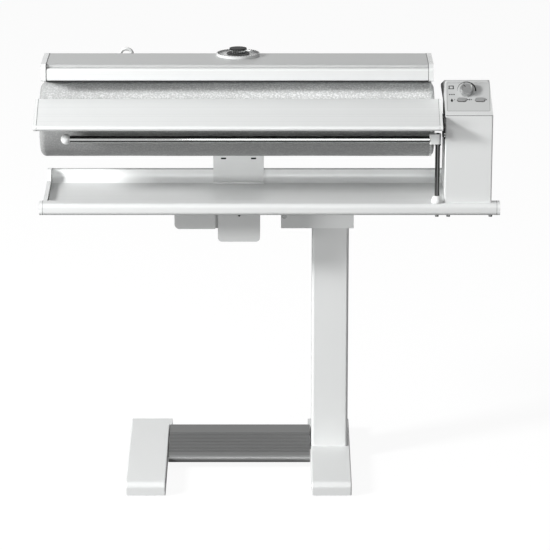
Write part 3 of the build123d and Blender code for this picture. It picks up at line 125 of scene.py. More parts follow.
surround_light = 0.22
mirrored_dark = 0.04
studio = bpy.data.worlds.new("studio")
bpy.context.scene.world = studio
studio.use_nodes = True
air = NodeTree(studio.node_tree)
direction = air.node("ShaderNodeTexCoord", output="Generated")
sideways, rearward, upward = (air.part_of(direction, axis) for axis in range(3))
patch_in_front = (
    (0.0 - rearward).between(0.55, 0.65) * sideways.near(0.0, 0.9).between(0.50, 0.58)
    * upward.near(0.20, 0.45).between(0.30, 0.50)
)
mirrored = air.blend(
    patch_in_front.most(rearward.between(0.35, 0.85)), grey(mirrored_dark), grey(1.0)
)
around = air.node("ShaderNodeBackground", {}, {"Color": grey(1.0), "Strength": surround_light})
in_metal = air.node("ShaderNodeBackground", {}, {"Color": mirrored, "Strength": 1.0})
behind = air.node("ShaderNodeBackground", {}, {"Color": grey(1.0), "Strength": 1.0})
air_light = air.node(
    "ShaderNodeMixShader", {}, {0: air.rays("Is Glossy Ray"), 1: around, 2: in_metal}
)
air.node(
    "ShaderNodeOutputWorld", {},
    {"Surface": air.node(
        "ShaderNodeMixShader", {}, {0: air.rays("Is Camera Ray"), 1: air_light, 2: behind}
    )},
)

floor_half = 30.0
floor_shadow_share = 0.10
floor_bounce = 0.14
floor_in_metal = 0.03
card_in_metal = 0.9
floor_mesh = bpy.data.meshes.new("studio_floor")
floor_mesh.from_pydata(
    [(-floor_half, -floor_half, 0), (floor_half, -floor_half, 0),
     (floor_half, floor_half, 0), (-floor_half, floor_half, 0)],
    [], [(0, 1, 2, 3)],
)
studio_floor = bpy.data.objects.new("studio_floor", floor_mesh)
bpy.context.scene.collection.objects.link(studio_floor)
floor_paint = bpy.data.materials.new("studio_floor_paint")
floor_paint.use_nodes = True
floor_tree = NodeTree(floor_paint.node_tree)
bounce = floor_tree.node("ShaderNodeBsdfDiffuse", {}, {"Color": grey(floor_bounce)})
floor_place = floor_tree.node("ShaderNodeTexCoord", output="Object")
floor_x, floor_y = (floor_tree.part_of(floor_place, axis) for axis in range(2))
card = floor_x.near(0.36, 2.0).between(0.35, 0.50) * floor_y.near(-2.3, 1.4).between(0.2, 0.4)
in_mirror = floor_tree.node(
    "ShaderNodeEmission", {},
    {"Color": floor_tree.blend(card, grey(floor_in_metal), grey(card_in_metal)), "Strength": 1.0},
)
paper = floor_tree.node(
    "ShaderNodeEmission", {}, {"Color": grey(1.0), "Strength": 1.0 - 0.8 * floor_shadow_share}
)
paper_shadow = floor_tree.node("ShaderNodeBsdfDiffuse", {}, {"Color": grey(floor_shadow_share)})
shown = floor_tree.node("ShaderNodeAddShader", {}, {0: paper, 1: paper_shadow})
floor_light = floor_tree.node(
    "ShaderNodeMixShader", {}, {0: floor_tree.rays("Is Glossy Ray"), 1: bounce, 2: in_mirror}
)
floor_tree.node(
    "ShaderNodeOutputMaterial", {},
    {"Surface": floor_tree.node(
        "ShaderNodeMixShader", {}, {0: floor_tree.rays("Is Camera Ray"), 1: floor_light, 2: shown}
    )},
)
floor_mesh.materials.append(floor_paint)

sensor_width = 36.0
focal_pixels, picture_pixels = 3513, 550
looks_down = 19.43
camera_data = bpy.data.cameras.new("camera")
camera_data.sensor_width = sensor_width
camera_data.lens = sensor_width * focal_pixels / picture_pixels
camera_data.clip_end = 100.0
camera = bpy.data.objects.new("camera", camera_data)
camera.location = (0.0150, -7.2587, 3.0065)
camera.rotation_euler = (math.radians(90 - looks_down), 0, 0)
bpy.context.scene.collection.objects.link(camera)
bpy.context.scene.camera = camera
bpy.context.scene.view_settings.view_transform = "Standard"


lamp_aim = (0, 0, 0.5)


def studio_lamp(name, direction, distance, width, brightness):
    """A square lamp that faces the object and lights it to a share of full white."""
    data = bpy.data.lights.new(name, "AREA")
    data.size = width
    data.energy = brightness * (math.pi * distance) ** 2
    lamp = bpy.data.objects.new(name, data)
    towards = Vector(direction).normalized()
    lamp.location = Vector(lamp_aim) + towards * distance
    lamp.rotation_euler = towards.to_track_quat("Z", "Y").to_euler()
    bpy.context.scene.collection.objects.link(lamp)


studio_lamp("key_lamp", (-0.82, -0.38, 0.42), 5.0, 0.9, 1.20)
studio_lamp("low_key_lamp", (-0.80, -0.50, 0.06), 5.0, 1.2, 0.42)
studio_lamp("front_lamp", (0.10, -0.95, 0.22), 5.0, 1.6, 0.17)
studio_lamp("top_lamp", (0.0, -0.2, 1.0), 4.0, 3.5, 0.12)
studio_lamp("fill_lamp", (0.65, -0.7, 0.15), 5.0, 2.0, 0.08)

# ------------------------------------------------------------------ painted steel of the stand and box
# The foot covers, the column, the front rail and the control box are sheet steel with
# a smooth white stove enamel, which has a faint uneven skin and a soft gloss.


def level(value, warmth=0.0):
    """A linear grey with the machine's faint green cast, warmer if asked."""
    return (value * (0.985 + warmth), value, value * (0.995 - warmth), 1.0)


class Finish(NodeTree):
    """A material of this machine."""

    def __init__(self, name):
        self.material = bpy.data.materials.new(name)
        self.material.use_nodes = True
        super().__init__(self.material.node_tree)
        self.place = self.node("ShaderNodeTexCoord", output="Object")

    def clouds(self, scale, detail=2.0, stretch=(1, 1, 1), seed=0.0):
        """Soft noise between 0 and 1, in cycles a metre, drawn out along an axis if asked."""
        place = self.node(
            "ShaderNodeMapping", {},
            {"Vector": self.place, "Scale": stretch, "Location": (seed, seed, seed)},
        )
        return self.node("ShaderNodeTexNoise", {}, {"Vector": place, "Scale": scale, "Detail": detail})

    def bump(self, height, depth, strength=1.0):
        return self.node(
            "ShaderNodeBump", {}, {"Height": height, "Distance": depth, "Strength": strength}
        )

    def surface(self, colour, roughness, normal=None, **sockets):
        inputs = {"Base Color": colour, "Roughness": roughness}
        if normal is not None:
            inputs["Normal"] = normal
        for name, value in sockets.items():
            inputs[name.replace("_", " ").title().replace("Ior", "IOR")] = value
        self.node(
            "ShaderNodeOutputMaterial", {},
            {"Surface": self.node("ShaderNodeBsdfPrincipled", {}, inputs)},
        )
        return self.material


def coated(name, tone, roughness, grain, dent, ior=1.5):
    """An enamel, a rubber or a moulded plastic: nearly even, with a fine skin."""
    finish = Finish(name)
    drift = finish.clouds(5.0)
    skin = finish.clouds(grain, 3.0, seed=0.4)
    colour = finish.blend(drift, level(tone * 0.975), level(tone * 1.025))
    rough = roughness - 0.04 + drift * 0.05 + skin * 0.03
    return finish.surface(colour, rough, finish.bump(skin, dent), ior=ior)


def dress(material, *names):
    """Gives CAD nodes a finish."""
    for name in names:
        node = nodes[name]
        if not node.material_slots:
            node.data.materials.append(material)
        for place in node.material_slots:
            place.link = "OBJECT"
            place.material = material


enamel = coated("white_enamel", 0.72, 0.36, 900.0, 0.00012)
dress(enamel, "left_foot_cover", "right_foot_cover", "column", "front_rail", "box_front", "box_body")

# ------------------------------------------------------------------ white mouldings
# The end caps of the rail, tray, board and heater, the control head and the rail's foot
# and knuckle are injection mouldings, a little glossier than the enamel. The membrane on
# the head's slope is a satin silver grey.

moulding = coated("white_moulding", 0.77, 0.28, 2200.0, 0.00006)
dress(moulding, "rail_caps", "tray_end_cap", "heater_caps", "rail_foot", "rail_knuckle",
      "board_caps", "water_tank", "cable_hook")
dress(coated("head_moulding", 0.60, 0.36, 2200.0, 0.00006), "control_head")
dress(coated("panel_membrane", 0.50, 0.46, 3000.0, 0.00005), "panel_plate")

# ------------------------------------------------------------------ finger guard
# A hollow white moulding that hangs in front of the shoe and tips back when a hand
# touches it. A shallow parting line runs along its face, and a black strip along its lower
# edge paints the shade of the gap below it.

guard_line_z = 921.5 * mm
guard_finish = Finish("guard_moulding")
guard_drift = guard_finish.clouds(4.0)
parting = guard_finish.part_of(guard_finish.place, 2).near(guard_line_z, 0.7 * mm)
guard_skin = guard_finish.blend(guard_drift - parting * 0.9, level(0.71), level(0.75))
dress(
    guard_finish.surface(guard_skin, 0.28 + guard_drift * 0.05, guard_finish.bump(0.5 - parting, 0.0002)),
    "finger_guard",
)


def piece_from(name, verts, faces, crease=35.0):
    """A closed piece from its corners in millimetres, smooth but for its sharp edges."""
    mesh = bpy.data.meshes.new(name)
    mesh.from_pydata([tuple(mm * place for place in vert) for vert in verts], [], faces)
    worker = bmesh.new()
    worker.from_mesh(mesh)
    bmesh.ops.recalc_face_normals(worker, faces=worker.faces)
    worker.to_mesh(mesh)
    worker.free()
    mesh.polygons.foreach_set("use_smooth", [True] * len(mesh.polygons))
    mesh.set_sharp_from_angle(angle=math.radians(crease))
    piece = bpy.data.objects.new(name, mesh)
    bpy.context.scene.collection.objects.link(piece)
    return piece


def finished(piece, material, body):
    """A piece's material and the body that carries it."""
    piece.data.materials.clear()
    piece.data.materials.append(material)
    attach(piece, body)
    return piece


def strips(name, runs):
    """Bands along paths in the YZ plane, each from its path, its X span and its depth inwards."""
    verts, faces = [], []
    for path, (low, high), depth in runs:
        start = len(verts)
        last = len(path) - 1
        for count, (y, z) in enumerate(path):
            before, after = path[max(count - 1, 0)], path[min(count + 1, last)]
            along = Vector((after[0] - before[0], after[1] - before[1])).normalized()
            inner = (y + along.y * depth, z - along.x * depth)
            verts += [(low, y, z), (high, y, z), (high, *inner), (low, *inner)]
        for count in range(last):
            first, second = start + 4 * count, start + 4 * count + 4
            for side in range(4):
                beside = (side + 1) % 4
                faces.append((first + side, first + beside, second + beside, second + side))
        faces.append(tuple(start + side for side in range(4)))
        faces.append(tuple(start + 4 * last + side for side in range(4)))
    return piece_from(name, verts, faces)


def rounded(corners, radii, steps=5):
    """A path through corners in a plane, with an arc at each inner one."""
    path = [tuple(corners[0])]
    for before, corner, after, radius in zip(corners, corners[1:], corners[2:], radii):
        corner = Vector(corner)
        back = (Vector(before) - corner).normalized()
        on = (Vector(after) - corner).normalized()
        half = back.angle(on) / 2
        centre = corner + (back + on).normalized() * radius / math.sin(half)
        reach = radius / math.tan(half)
        start, end = corner + back * reach - centre, corner + on * reach - centre
        for step in range(steps + 1):
            spoke = start * (1 - step / steps) + end * (step / steps)
            path.append(tuple(centre + spoke.normalized() * radius))
    path.append(tuple(corners[-1]))
    return path


# A black strip under the guard, painted shade for the dark gap below it.
black_lip = coated("black_lip", 0.012, 0.55, 900.0, 0.0001)
guard_lip = strips("guard_lip", [
    (rounded([(-64.5, 908.0), (-64.5, 904.6), (-58.0, 904.6), (-58.0, 908.0)], [1.2, 1.2]),
     (-472.6, 341.8), -1.4),
])
finished(guard_lip, black_lip, "finger_guard")

# ------------------------------------------------------------------ grey pressings
# The bracket behind the roller, the two lift housings under the tray and the pivot
# bracket on the column are pressed sheet with a mid-grey silk enamel. Its tones are painted
# lighter, most on the two brackets, as painted light for the shade under the roller and tray.
# The slots of the upper bracket are closed with black plugs, and a small screw holds the deeper housing.

# The enamel of these pressings is painted lighter, as painted light for the shade they stand in.
dress(coated("pale_grey_enamel", 0.88, 0.42, 1100.0, 0.00014), "support_bracket")
dress(coated("grey_enamel", 0.55, 0.48, 1100.0, 0.00014), "lift_housings")
dress(coated("bracket_enamel", 0.86, 0.48, 1100.0, 0.00014), "pivot_bracket")

black_plastic = coated("black_moulding", 0.018, 0.50, 1800.0, 0.00008, ior=1.2)


def along(centre, half_length, half_height, steps=6):
    """The outline of a slot, as (x, z) points."""
    points = []
    for end in (1, -1):
        for step in range(steps + 1):
            turn = math.radians(90 - 180 * step / steps)
            points.append((
                centre[0] + end * (half_length - half_height + half_height * math.cos(turn)),
                centre[1] + end * half_height * math.sin(turn),
            ))
    return points


def prisms(name, outlines, place, low, high):
    """Flat pieces with straight sides, from outlines in a plane and a place in space for each point."""
    verts, faces = [], []
    for outline in outlines:
        start, count = len(verts), len(outline)
        for height in (low, high):
            verts += [place(first, second, height) for first, second in outline]
        faces.append(tuple(range(start, start + count)))
        faces.append(tuple(range(start + count, start + 2 * count)))
        for corner in range(count):
            beside = (corner + 1) % count
            faces.append((start + corner, start + beside, start + count + beside, start + count + corner))
    return piece_from(name, verts, faces)


slot_z = 681.5
slot_places = (-98.0, -32.1)
slot_plugs = prisms(
    "slot_plugs", [along((x, slot_z), 5.9, 1.9) for x in slot_places],
    lambda x, z, out: (x, 104.5 - out, z), 0.0, 2.2,
)
finished(slot_plugs, black_plastic, "head")

# ------------------------------------------------------------------ feed board
# The shelf from which the laundry is fed in: a drawn aluminium section with a satin face.
# Four shallow steps of the die run along it, and its lower face is painted near black as painted shade.

board_steps = (-89.2, -112.2, -119.5, -136.5)


def brushed(name, tone, roughness, line, spread, dent, metallic=1.0, steps=(), painted_shade_part=None):
    """Metal brushed along X, with its lines this many to the metre across it."""
    finish = Finish(name)
    lines = finish.clouds(1.0, 4.0, stretch=(3.0, line, line))
    bands = finish.clouds(1.0, 1.0, stretch=(0.8, line / 14, line / 14), seed=0.7)
    worn = lines * 0.6 + bands * 0.4
    relief = lines * 0.3
    shade = worn
    if steps:
        across = finish.part_of(finish.place, 1)
        step_groove_and_shade = across.near(steps[0] * mm, 1.1 * mm)
        for step in steps[1:]:
            step_groove_and_shade = step_groove_and_shade.most(across.near(step * mm, 1.1 * mm))
        relief = relief - step_groove_and_shade
        # The steps are painted darker too, as painted shade in them.
        shade = shade - step_groove_and_shade * 0.8
    colour = finish.blend(shade, level(tone - spread), level(tone + spread))
    # A masked part is painted near black, as painted shade.
    if painted_shade_part:
        colour = finish.blend(painted_shade_part(finish), colour, level(0.03))
    return finish.surface(
        colour, roughness - 0.06 + worn * 0.12, finish.bump(relief, dent, 0.6), metallic=metallic
    )


def board_underside_painted_shade(finish):
    """1 on the board's lower face, painted near black as shade, 0 on its upper face and its nose."""
    y, z = (finish.part_of(finish.place, axis) for axis in (1, 2))
    return (z - y * 0.4765).between(0.8950, 0.8938) * y.between(-0.148, -0.146)


dress(brushed("board_aluminium", 0.76, 0.42, 1500.0, 0.04, 0.00004, metallic=0.12, steps=board_steps,
              painted_shade_part=board_underside_painted_shade),
      "feed_board")

# ------------------------------------------------------------------ heater cover
# A rolled aluminium cover over the heated shoe, anodised grey and brushed along its length.
# The moulded caps are pushed into both of its ends.

dress(brushed("cover_aluminium", 0.54, 0.44, 2200.0, 0.03, 0.00003, metallic=0.35), "heater_cover")

# ------------------------------------------------------------------ collecting tray
# Stainless sheet with a cove at the rear, ground along its length. The cove is painted
# brighter than the floor of the tray as painted light, and the top of its rear wall is painted darker as
# the roller's shadow.

tray = Finish("tray_stainless")
tray_depth, tray_height = (tray.part_of(tray.place, axis) for axis in (1, 2))
grinding = tray.clouds(1.0, 4.0, stretch=(3.0, 1800.0, 1800.0))
tray_bands = tray.clouds(1.0, 1.0, stretch=(1.2, 60.0, 60.0), seed=0.7)
cove = tray_depth.between(0.087, 0.091)
below_painted_shadow = tray_height.between(0.6575, 0.6535)
floor_tone = tray.blend(grinding * 0.5 + tray_bands * 0.5, level(0.68), level(0.80))
# Painted light on the cove and painted shadow along the top of the rear wall.
cove_painted_light_and_shadow = tray.blend(below_painted_shadow, level(0.35), level(0.98))
dress(
    tray.surface(
        tray.blend(cove, floor_tone, cove_painted_light_and_shadow), 0.34 + grinding * 0.08,
        tray.bump(grinding, 0.00002, 0.6), metallic=0.2 - cove * 0.12,
    ),
    "tray_sheet",
)

# ------------------------------------------------------------------ pedal
# A folded plate of dark brushed metal with pressed ribs, hinged at the rear of the base.
# Its front lip is painted brighter, as a painted highlight.

pedal = Finish("pedal_metal")
pedal_lines = pedal.clouds(1.0, 4.0, stretch=(3.0, 900.0, 900.0))
pedal_front, pedal_height = (pedal.part_of(pedal.place, axis) for axis in (1, 2))
# A painted highlight along the front lip.
lip_painted_highlight = pedal_front.between(-0.0235, -0.0265) * pedal_height.between(0.019, 0.023)
pedal_tone = pedal.blend(pedal_lines, level(0.14), level(0.19))
dress(
    pedal.surface(
        pedal.blend(lip_painted_highlight, pedal_tone, level(0.36)), 0.34 + pedal_lines * 0.1,
        pedal.bump(pedal_lines, 0.00004, 0.6), metallic=0.5,
    ),
    "pedal_plate",
)

# ------------------------------------------------------------------ polished rods
# The laundry rail and its post are chromed tube. The post's chrome is painted darker, as a
# painted reflection of the dark room that it mirrors.



def polished(name, tone):
    """Bright plated steel with a faint haze."""
    finish = Finish(name)
    haze = finish.clouds(60.0, 3.0)
    colour = finish.blend(haze, level(tone * 0.94), level(tone * 1.06))
    return finish.surface(colour, 0.04 + haze * 0.03, metallic=1.0)


dress(polished("polished_chrome", 0.66), "rail_rod")
# Darker chrome on the post: a painted reflection of a dark room.
dress(polished("smoked_chrome", 0.20), "rail_post")

# ------------------------------------------------------------------ bare metal inside
# Castings, turned parts and sheet that show only from below, behind or through a gap. They
# are left bare, and the small mouldings and rubbers among them are black.

turned_steel = brushed("turned_steel", 0.45, 0.35, 1400.0, 0.04, 0.00003)
dress(turned_steel, "base_frame", "stand_bolts", "pivot_pin", "pedal_spring", "head_beam",
      "lift_motor", "roller_bearings", "drive_motor", "head_screws", "roller_core", "roller_shaft",
      "heating_elements", "heater_arm", "lift_rod")
dress(brushed("cast_aluminium", 0.62, 0.40, 500.0, 0.05, 0.00008), "heater_shoe", "roller_pulley",
      "motor_pulley")
dress(black_plastic, "pedal_switch", "left_wheel", "right_wheel", "lock_lever", "mains_gland",
      "board_pivot_block", "board_arm")
dress(coated("black_rubber", 0.03, 0.72, 700.0, 0.00018), "foot_pads", "rest_buffer", "drive_belt")
dress(coated("silver_moulding", 0.28, 0.30, 2600.0, 0.00005), "left_button", "right_button")
dress(coated("dial_moulding", 0.62, 0.30, 2600.0, 0.00005), "steam_dial")

# ------------------------------------------------------------------ joints of the end caps
# Every section is closed by a moulded cap that is pushed in, and a narrow dark joint stays
# visible where the two meet. The control head has the same joint over the box below it.

joint_shade = coated("dark_joint", 0.09, 0.6, 900.0, 0.0001)
cover_path = rounded(
    [(-66.4, 908.0), (-66.4, 934.4), (-54.0, 941.4), (75.0, 930.4), (120.4, 886.5), (120.4, 777.0)],
    [5.0, 3.0, 25.0, 25.0], steps=8,
)
heater_joints = strips("heater_joints", [
    (cover_path, (-473.3, -471.7), 1.0), (cover_path, (341.2, 342.5), 1.0),
])
finished(heater_joints, joint_shade, "heater")
board_path = rounded(
    [(-61.9, 866.7), (-148.8, 834.25), (-155.3, 831.0), (-154.5, 823.5), (-147.5, 821.9)],
    [3.0, 4.0, 3.0],
)
board_joints = strips("board_joints", [
    (board_path[::-1], (-490.3, -489.5), 1.0), (board_path[::-1], (363.4, 364.0), 1.0),
])
finished(board_joints, joint_shade, "feed_board")
rail_path = rounded([(-104.0, 652.2), (-130.2, 652.2), (-130.2, 625.3), (-104.0, 625.3)], [9.2, 9.2])
tray_path = rounded([(-103.5, 629.2), (104.8, 629.2), (104.8, 657.8)], [17.0], steps=8)
head_joints = strips("head_joints", [
    (rail_path[::-1], (-483.0, -482.3), 1.0), (rail_path[::-1], (489.2, 489.8), 1.0),
    (tray_path[::-1], (-476.3, -475.4), -0.9),
])
finished(head_joints, joint_shade, "head")

box_left, box_right, box_front, box_top = 376.8, 478.2, -118.0, 846.0
seam_plan = rounded(
    [(box_left - 0.12, 108.0), (box_left - 0.12, box_front - 0.12), (box_right + 0.12, box_front - 0.12),
     (box_right + 0.12, 108.0)],
    [3.0, 3.0],
)
seam_inner = rounded(
    [(box_left + 0.9, 108.0), (box_left + 0.9, box_front + 0.9), (box_right - 0.9, box_front + 0.9),
     (box_right - 0.9, 108.0)],
    [2.0, 2.0],
)
head_seam = prisms(
    "head_seam", [seam_plan + seam_inner[::-1]],
    lambda x, y, up: (x, y, box_top + up), -0.5, 0.4,
)
finished(head_seam, joint_shade, "head")

# ------------------------------------------------------------------ control panel
# The membrane lies in a shallow frame on the head's slope. A printed wedge round the knob
# grows with the heat, and plain marks stand beside the knob and the two rocker buttons.

slope = math.atan2(906.0 - box_top, -65.0 - box_front)
panel_left, panel_right, panel_low, panel_high = 381.0, 471.5, 11.0, 77.0
knob_x, knob_up = 423.0, 59.5


def on_panel(x, up, out):
    """A place over the panel: across it, up its slope and out from it."""
    return (
        x,
        box_front + up * math.cos(slope) - out * math.sin(slope),
        box_top + up * math.sin(slope) + out * math.cos(slope),
    )


def frame_outline(grow):
    """The panel's outline, this much larger on every side."""
    low_x, high_x = panel_left - grow, panel_right + grow
    low, high = panel_low - grow, panel_high + grow
    corners = [((low_x + high_x) / 2, low), (high_x, low), (high_x, high), (low_x, high), (low_x, low),
               ((low_x + high_x) / 2, low)]
    return rounded(corners, [2.0 + grow] * 4)


frame_grey = coated("frame_line", 0.22, 0.5, 900.0, 0.0001)
panel_frame = prisms(
    "panel_frame", [frame_outline(0.5) + frame_outline(-0.3)[::-1]], on_panel, -0.4, 0.12,
)
finished(panel_frame, frame_grey, "head")


def ring_part(centre, outer, inner, start, end, steps=24):
    """A piece of a ring, whose inner edge may close in on the outer one towards its start."""
    points = []
    for step in range(steps + 1):
        turn = math.radians(start + (end - start) * step / steps)
        points.append((centre[0] + outer * math.cos(turn), centre[1] + outer * math.sin(turn)))
    for step in range(steps, -1, -1):
        turn = math.radians(start + (end - start) * step / steps)
        reach = outer + (inner - outer) * (0.12 + 0.88 * step / steps)
        points.append((centre[0] + reach * math.cos(turn), centre[1] + reach * math.sin(turn)))
    return points


def dash(x, up, half_x, half_up):
    return [(x - half_x, up - half_up), (x + half_x, up - half_up), (x + half_x, up + half_up),
            (x - half_x, up + half_up)]


def dot(x, up, radius, steps=10):
    turns = [2 * math.pi * step / steps for step in range(steps)]
    return [(x + radius * math.cos(turn), up + radius * math.sin(turn)) for turn in turns]


drop = [(391.0, 40.4), (388.4, 35.6), (388.9, 33.2), (391.0, 32.0), (393.1, 33.2), (393.6, 35.6)]
panel_marks = prisms(
    "panel_marks",
    [
        ring_part((knob_x, knob_up), 20.4, 17.2, 184.0, -6.0),
        dash(390.0, 69.5, 5.5, 0.8), dash(385.6, 66.0, 1.0, 3.0), dash(394.4, 66.0, 1.0, 3.0),
        dash(390.0, 62.8, 6.0, 0.8),
        dash(386.6, 49.5, 1.6, 1.1), dash(391.2, 49.5, 1.6, 1.1), dash(395.8, 49.5, 1.6, 1.1),
        drop, dot(397.0, 37.3, 0.9),
        dash(424.8, 37.6, 1.3, 0.9), dash(428.4, 37.6, 0.9, 1.6), dash(432.0, 37.6, 1.3, 0.9),
        dot(464.4, 37.3, 1.1),
    ],
    on_panel, 0.0, 0.1,
)
rockers = ((411.8, 18.7), (450.7, 20.2))
rocker_up = 37.3
# Black strips along the lower edges of the two rocker buttons are painted shade under them.
rocker_edges = prisms(
    "rocker_edges",
    [ring_part((x + side * (width / 2 - 4.3), rocker_up), 5.1, 4.35, start, start + 90.0, 8)
     for x, width in rockers for side, start in ((-1, 180.0), (1, 270.0))]
    + [dash(x, 32.6, width / 2 - 4.0, 0.35) for x, width in rockers],
    on_panel, 0.0, 0.9,
)
finished(rocker_edges, black_plastic, "head")
finished(panel_marks, coated("panel_print", 0.012, 0.6, 900.0, 0.0001), "head")

# ------------------------------------------------------------------ temperature knob
# A moulded knob on the thermostat's shaft. A pressed metal face with turned rings sits in
# it, and a black line points to the wedge.


def lathe(name, profile, place, steps=48):
    """A closed turned piece, from its (radius, height) profile and a place in space."""
    verts, faces, rows = [], [], []
    for radius, height in profile:
        if radius == 0:
            rows.append([len(verts)] * steps)
            verts.append(place(0.0, 0.0, height))
        else:
            rows.append(list(range(len(verts), len(verts) + steps)))
            verts += [
                place(radius * math.cos(2 * math.pi * step / steps),
                      radius * math.sin(2 * math.pi * step / steps), height)
                for step in range(steps)
            ]
    closing = [] if profile[0][0] == 0 else [(rows[-1], rows[0])]
    for low, high in list(zip(rows, rows[1:])) + closing:
        for step in range(steps):
            beside = (step + 1) % steps
            corners = dict.fromkeys((low[step], low[beside], high[beside], high[step]))
            faces.append(tuple(corners))
    return piece_from(name, verts, faces)


def on_knob(across, up, out):
    return on_panel(knob_x + across, knob_up + up, 11.3 + out)


turned_face = Finish("turned_face")
from_knob = turned_face.node(
    "ShaderNodeVectorMath", {"operation": "DISTANCE"},
    {0: turned_face.place, 1: [mm * place for place in on_knob(0.0, 0.0, 0.0)]}, output="Value",
)
rings = turned_face.node("ShaderNodeMath", {"operation": "SINE"}, {0: from_knob * 9000.0})
turned_skin = turned_face.surface(
    turned_face.blend(rings * 0.5 + 0.5, level(0.50), level(0.62)),
    0.26 + turned_face.clouds(300.0) * 0.1, turned_face.bump(rings, 0.00003), metallic=0.85,
)
dress(turned_skin, "temperature_knob")
knob_face = lathe("knob_face", [
    (0, -1.0), (12.4, -1.0), (12.4, 0.25), (11.6, 0.5), (10.9, 0.45), (10.2, -0.1), (0, -0.45),
], on_knob)
finished(knob_face, turned_skin, "temperature_knob")
knob_pointer = prisms(
    "knob_pointer", [[(-3.9, 2.9), (-9.0, 8.0), (-8.0, 9.0), (-2.9, 3.9)]], on_knob, -0.5, 0.15,
)
finished(knob_pointer, black_plastic, "temperature_knob")

# ------------------------------------------------------------------ steam dial and steam knob
# A round dial with a raised serrated collar covers the tank's filling neck. The knob on it
# has a black base and a black cap, and its body between them is chromed.

cover_tilt = math.atan2(941.0 - 930.0, 75.0 + 54.0 - 1.0)
dial_z = 930.0 + 30.0 * math.tan(cover_tilt)
dial_place = (-64.6, 45.0, dial_z + 0.05 / math.cos(cover_tilt))


def on_dial(across, up, out):
    """A place over the dial: across it, towards the rear and out from it."""
    return (
        dial_place[0] + across,
        dial_place[1] + up * math.cos(cover_tilt) + out * math.sin(cover_tilt),
        dial_place[2] - up * math.sin(cover_tilt) + out * math.cos(cover_tilt),
    )


cap_from, cap_to = 12.6 * mm, 12.9 * mm
knob_finish = Finish("steam_knob_finish")
knob_haze = knob_finish.clouds(60.0, 3.0)
over_dial = (
    knob_finish.part_of(knob_finish.place, 1) * math.sin(cover_tilt)
    + knob_finish.part_of(knob_finish.place, 2) * math.cos(cover_tilt)
    - mm * (dial_place[1] * math.sin(cover_tilt) + dial_place[2] * math.cos(cover_tilt))
)
black_cap = over_dial.between(cap_from, cap_to)
knob_tone = knob_finish.blend(knob_haze, level(0.62), level(0.70))
dress(
    knob_finish.surface(
        knob_finish.blend(black_cap, knob_tone, level(0.018)), 0.05 + knob_haze * 0.03 + black_cap * 0.42,
        metallic=1.0 - black_cap, ior=1.2,
    ),
    "steam_knob",
)
knob_base = lathe("knob_base", [
    (15.9, 6.4), (15.9, 7.0), (22.6, 7.0), (24.7, 5.6), (24.7, 3.5), (24.2, 3.5), (24.2, 6.4),
], on_dial)
dark_base = coated("dark_base", 0.03, 0.5, 1500.0, 0.0001, ior=1.2)
finished(knob_base, dark_base, "steam_knob")

dial_marks = prisms(
    "dial_marks",
    [dot(-32.5, 4.0, 1.2), dot(-32.5, -5.0, 1.2), dot(-28.0, 17.0, 0.9), dot(-28.0, -17.0, 0.9)]
    + [dot(33.0 * math.cos(math.radians(turn)), 33.0 * math.sin(math.radians(turn)), 0.8)
       for turn in (-60, -30, 0, 30, 60)],
    on_dial, 2.9, 3.12,
)
finished(dial_marks, black_plastic, "heater")


def on_cover(across, up, out):
    """A place on the cover in front of the dial."""
    return on_dial(across, up, out - 0.05)


cover_pointer = prisms(
    "cover_pointer", [[(-3.0, -53.0), (3.0, -53.0), (1.0, -49.5), (-1.0, -49.5)]], on_cover, -0.1, 0.15,
)
finished(cover_pointer, moulding, "heater")


class Pattern(NodeTree):
    """A geometry tree that repeats a small shape, with named inputs."""

    def __init__(self, name, sockets):
        super().__init__(bpy.data.node_groups.new(name, "GeometryNodeTree"))
        self.keys = {}
        for title, kind in sockets:
            socket = self.tree.interface.new_socket(title, in_out="INPUT", socket_type=kind)
            self.keys[title] = socket.identifier
        self.tree.interface.new_socket("Geometry", in_out="OUTPUT", socket_type="NodeSocketGeometry")
        self.values = self.tree.nodes.new("NodeGroupInput")

    def value(self, title):
        return Shade(self, self.values.outputs[title])

    def give(self, geometry, material_title):
        """Ends the tree: the instances made real, smooth and in their material."""
        real = self.node("GeometryNodeRealizeInstances", {}, {0: geometry})
        smooth = self.node("GeometryNodeSetShadeSmooth", {}, {0: real})
        skinned = self.node(
            "GeometryNodeSetMaterial", {}, {0: smooth, "Material": self.value(material_title)}
        )
        self.node("NodeGroupOutput", {}, {0: skinned})

    def grow(self, name, start, **values):
        """A plain mesh made by this tree from a starting mesh."""
        piece = bpy.data.objects.new(name, start)
        bpy.context.scene.collection.objects.link(piece)
        modifier = piece.modifiers.new(name, "NODES")
        modifier.node_group = self.tree
        for title, value in values.items():
            modifier[self.keys[title.replace("_", " ")]] = value
        graph = bpy.context.evaluated_depsgraph_get()
        made = bpy.data.meshes.new_from_object(piece.evaluated_get(graph))
        piece.modifiers.remove(modifier)
        piece.data = made
        made.name = name
        return piece


